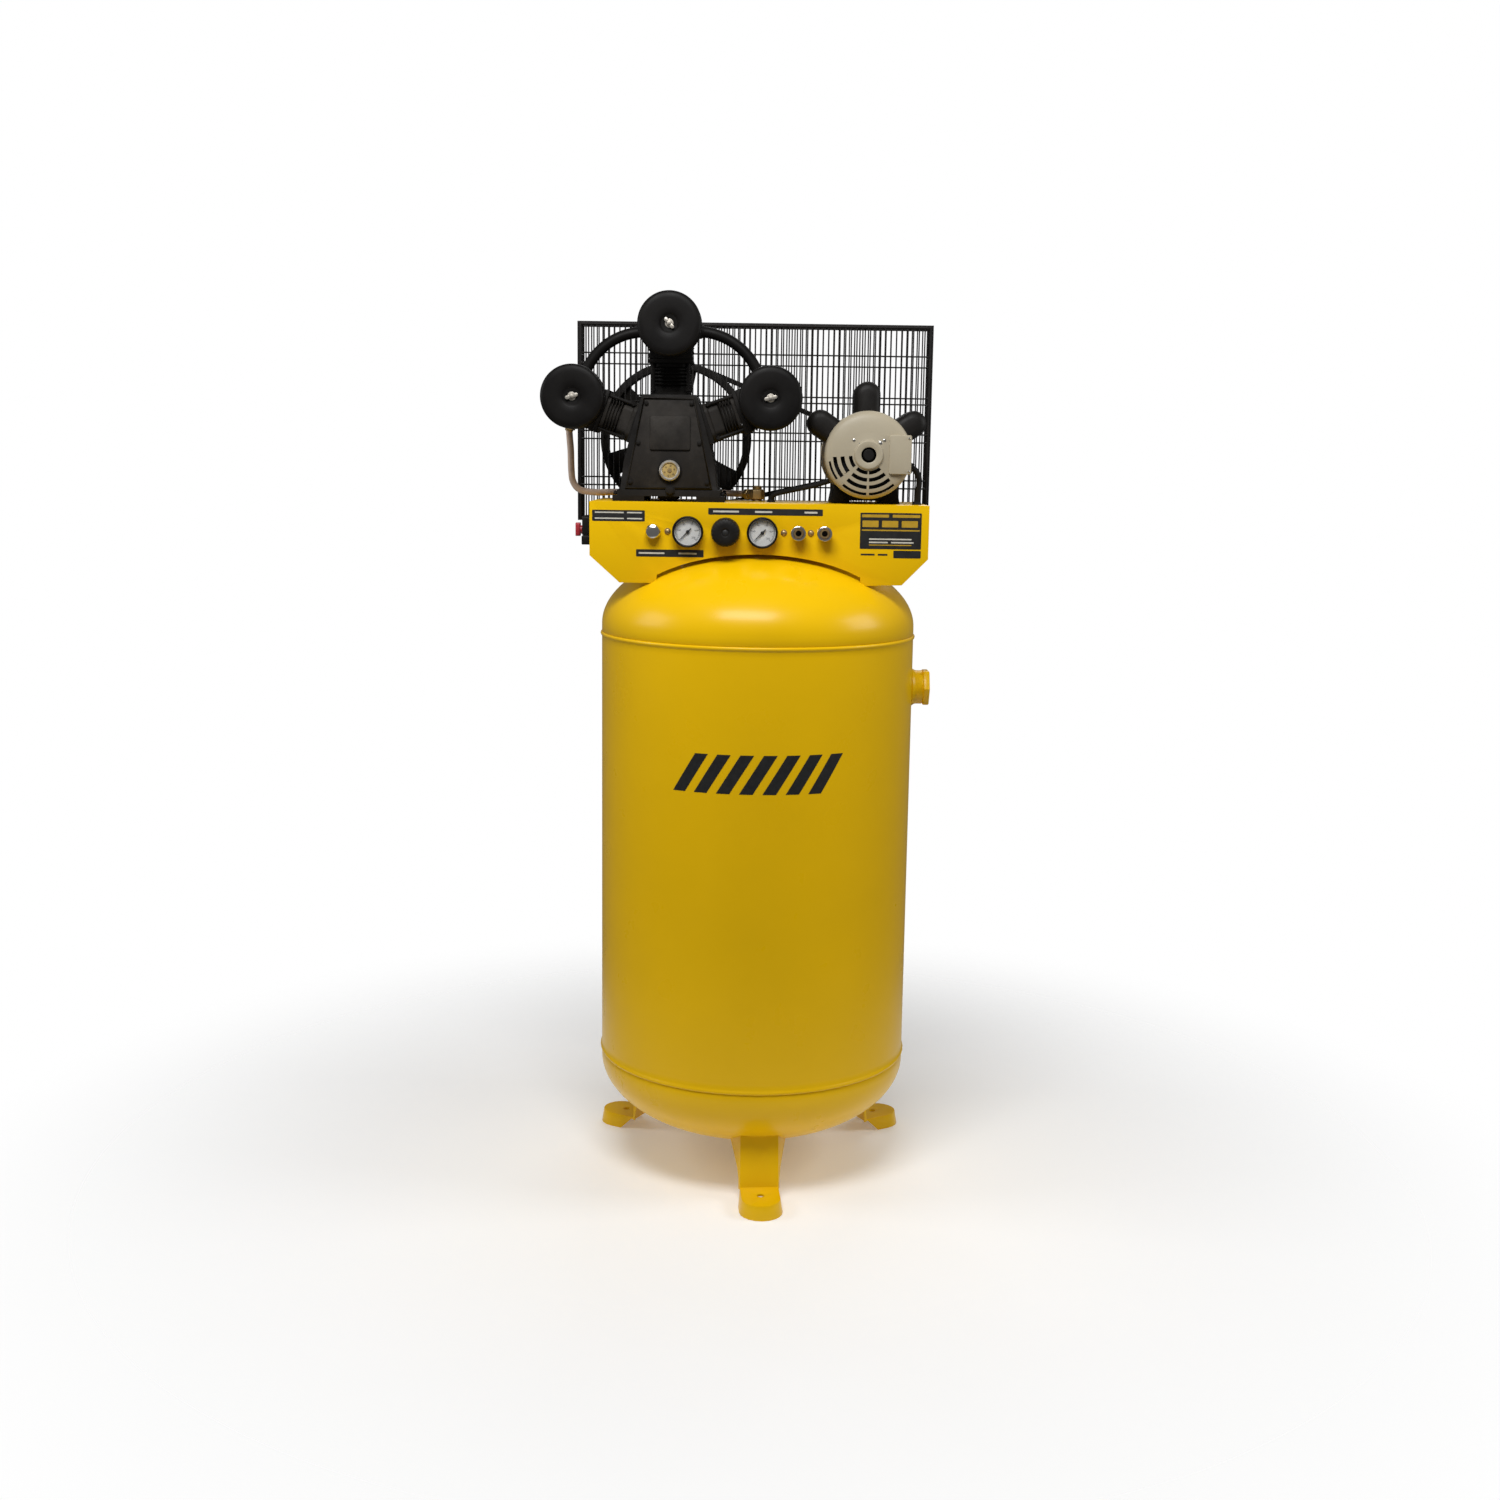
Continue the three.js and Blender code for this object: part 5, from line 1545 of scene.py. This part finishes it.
# ------------------------------------------------------------------ floor, light, camera
me = bpy.data.meshes.new("floor")
rim_pts = [
    (FX / 1000 + 1.9 * math.cos(2 * math.pi * i / 128), FY / 1000 + 1.9 * math.sin(2 * math.pi * i / 128), -0.0004)
    for i in range(128)
]
me.from_pydata(rim_pts, [], [tuple(range(128))])
floor = bpy.data.objects.new("floor", me)
bpy.context.scene.collection.objects.link(floor)
FLOOR = material("pale_floor", (0.93, 0.93, 0.93), rough=0.75, vary=0.01, scale=2.0, rvary=0.03, bump=0.01, bscale=60.0, spec=0.1)
me.materials.append(FLOOR)
# the disc fades out towards its rim, so that it has no edge
fn = FLOOR.node_tree
tc = fn.nodes.new("ShaderNodeTexCoord")
off = fn.nodes.new("ShaderNodeVectorMath")
off.operation = "DISTANCE"
off.inputs[1].default_value = (FX / 1000, FY / 1000, 0)
fn.links.new(tc.outputs["Object"], off.inputs[0])
fade = fn.nodes.new("ShaderNodeMapRange")
fade.interpolation_type = "SMOOTHSTEP"
fade.inputs["From Min"].default_value = 0.55
fade.inputs["From Max"].default_value = 1.7
fade.inputs["To Min"].default_value = 1.0
fade.inputs["To Max"].default_value = 0.0
fn.links.new(off.outputs["Value"], fade.inputs["Value"])
fn.links.new(fade.outputs["Result"], fn.nodes["Principled BSDF"].inputs["Alpha"])
fn.nodes["Principled BSDF"].inputs["Emission Color"].default_value = (1.0, 1.0, 1.0, 1)
fn.nodes["Principled BSDF"].inputs["Emission Strength"].default_value = 0.14
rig.stage(floor)

# white to the camera, dim to everything else: the soft boxes do the lighting
world = bpy.data.worlds.new("studio")
bpy.context.scene.world = world
world.use_nodes = True
wn = world.node_tree
bg = wn.nodes["Background"]
bg.inputs["Color"].default_value = (1.0, 1.0, 1.0, 1)
bg.inputs["Strength"].default_value = AMBIENT
white = wn.nodes.new("ShaderNodeBackground")
white.inputs["Color"].default_value = (1.0, 1.0, 1.0, 1)
white.inputs["Strength"].default_value = 1.0
path_ = wn.nodes.new("ShaderNodeLightPath")
mix = wn.nodes.new("ShaderNodeMixShader")
wn.links.new(path_.outputs["Is Camera Ray"], mix.inputs["Fac"])
wn.links.new(bg.outputs["Background"], mix.inputs[1])
wn.links.new(white.outputs["Background"], mix.inputs[2])
wn.links.new(mix.outputs["Shader"], wn.nodes["World Output"].inputs["Surface"])


def area(name, loc, look, size, power, size_y=None):
    li = bpy.data.lights.new(name, "AREA")
    li.energy = power
    li.size = size
    if size_y:
        li.shape = "RECTANGLE"
        li.size_y = size_y
    o = bpy.data.objects.new(name, li)
    o.location = loc
    o.rotation_euler = (Vector(look) - Vector(loc)).to_track_quat("-Z", "Y").to_euler()
    bpy.context.scene.collection.objects.link(o)
    return o


area("key", (-0.2, -1.45, 2.75), (0.03, 0, 1.05), 1.3, 45, 0.7)
area("side_right", (2.3, -0.35, 1.95), (0.03, 0, 1.0), 1.0, 19)
area("side_left", (-2.3, -0.35, 1.95), (0.03, 0, 1.0), 1.0, 15)
area("back", (0.4, 2.2, 2.6), (0, 0, 1.2), 1.6, 14)

cam = bpy.data.cameras.new("camera")
cam.sensor_width = 36.0
cam.lens = 41.66
cam.clip_start = 0.05
cam.clip_end = 60
camo = bpy.data.objects.new("camera", cam)
bpy.context.scene.collection.objects.link(camo)
rt = Vector((0.99989, 0.00574, 0.01377)).normalized()
fw = Vector((-0.0034, 0.98635, -0.16462)).normalized()
up = rt.cross(fw).normalized()
rt = fw.cross(up).normalized()
camo.matrix_world = Matrix(
    (
        (rt.x, up.x, -fw.x, FX / 1000),
        (rt.y, up.y, -fw.y, FY / 1000 - 3.4048),
        (rt.z, up.z, -fw.z, 1.401),
        (0, 0, 0, 1),
    )
)
bpy.context.scene.camera = camo
bpy.context.scene.view_settings.view_transform = "Standard"

with open("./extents.json", "w") as fh:
    out_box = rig.bounds()
    json.dump(
        {
            "cad": [list(cad_box[0]), list(cad_box[1])],
            "visual": [list(out_box[0]), list(out_box[1])],
        },
        fh,
    )
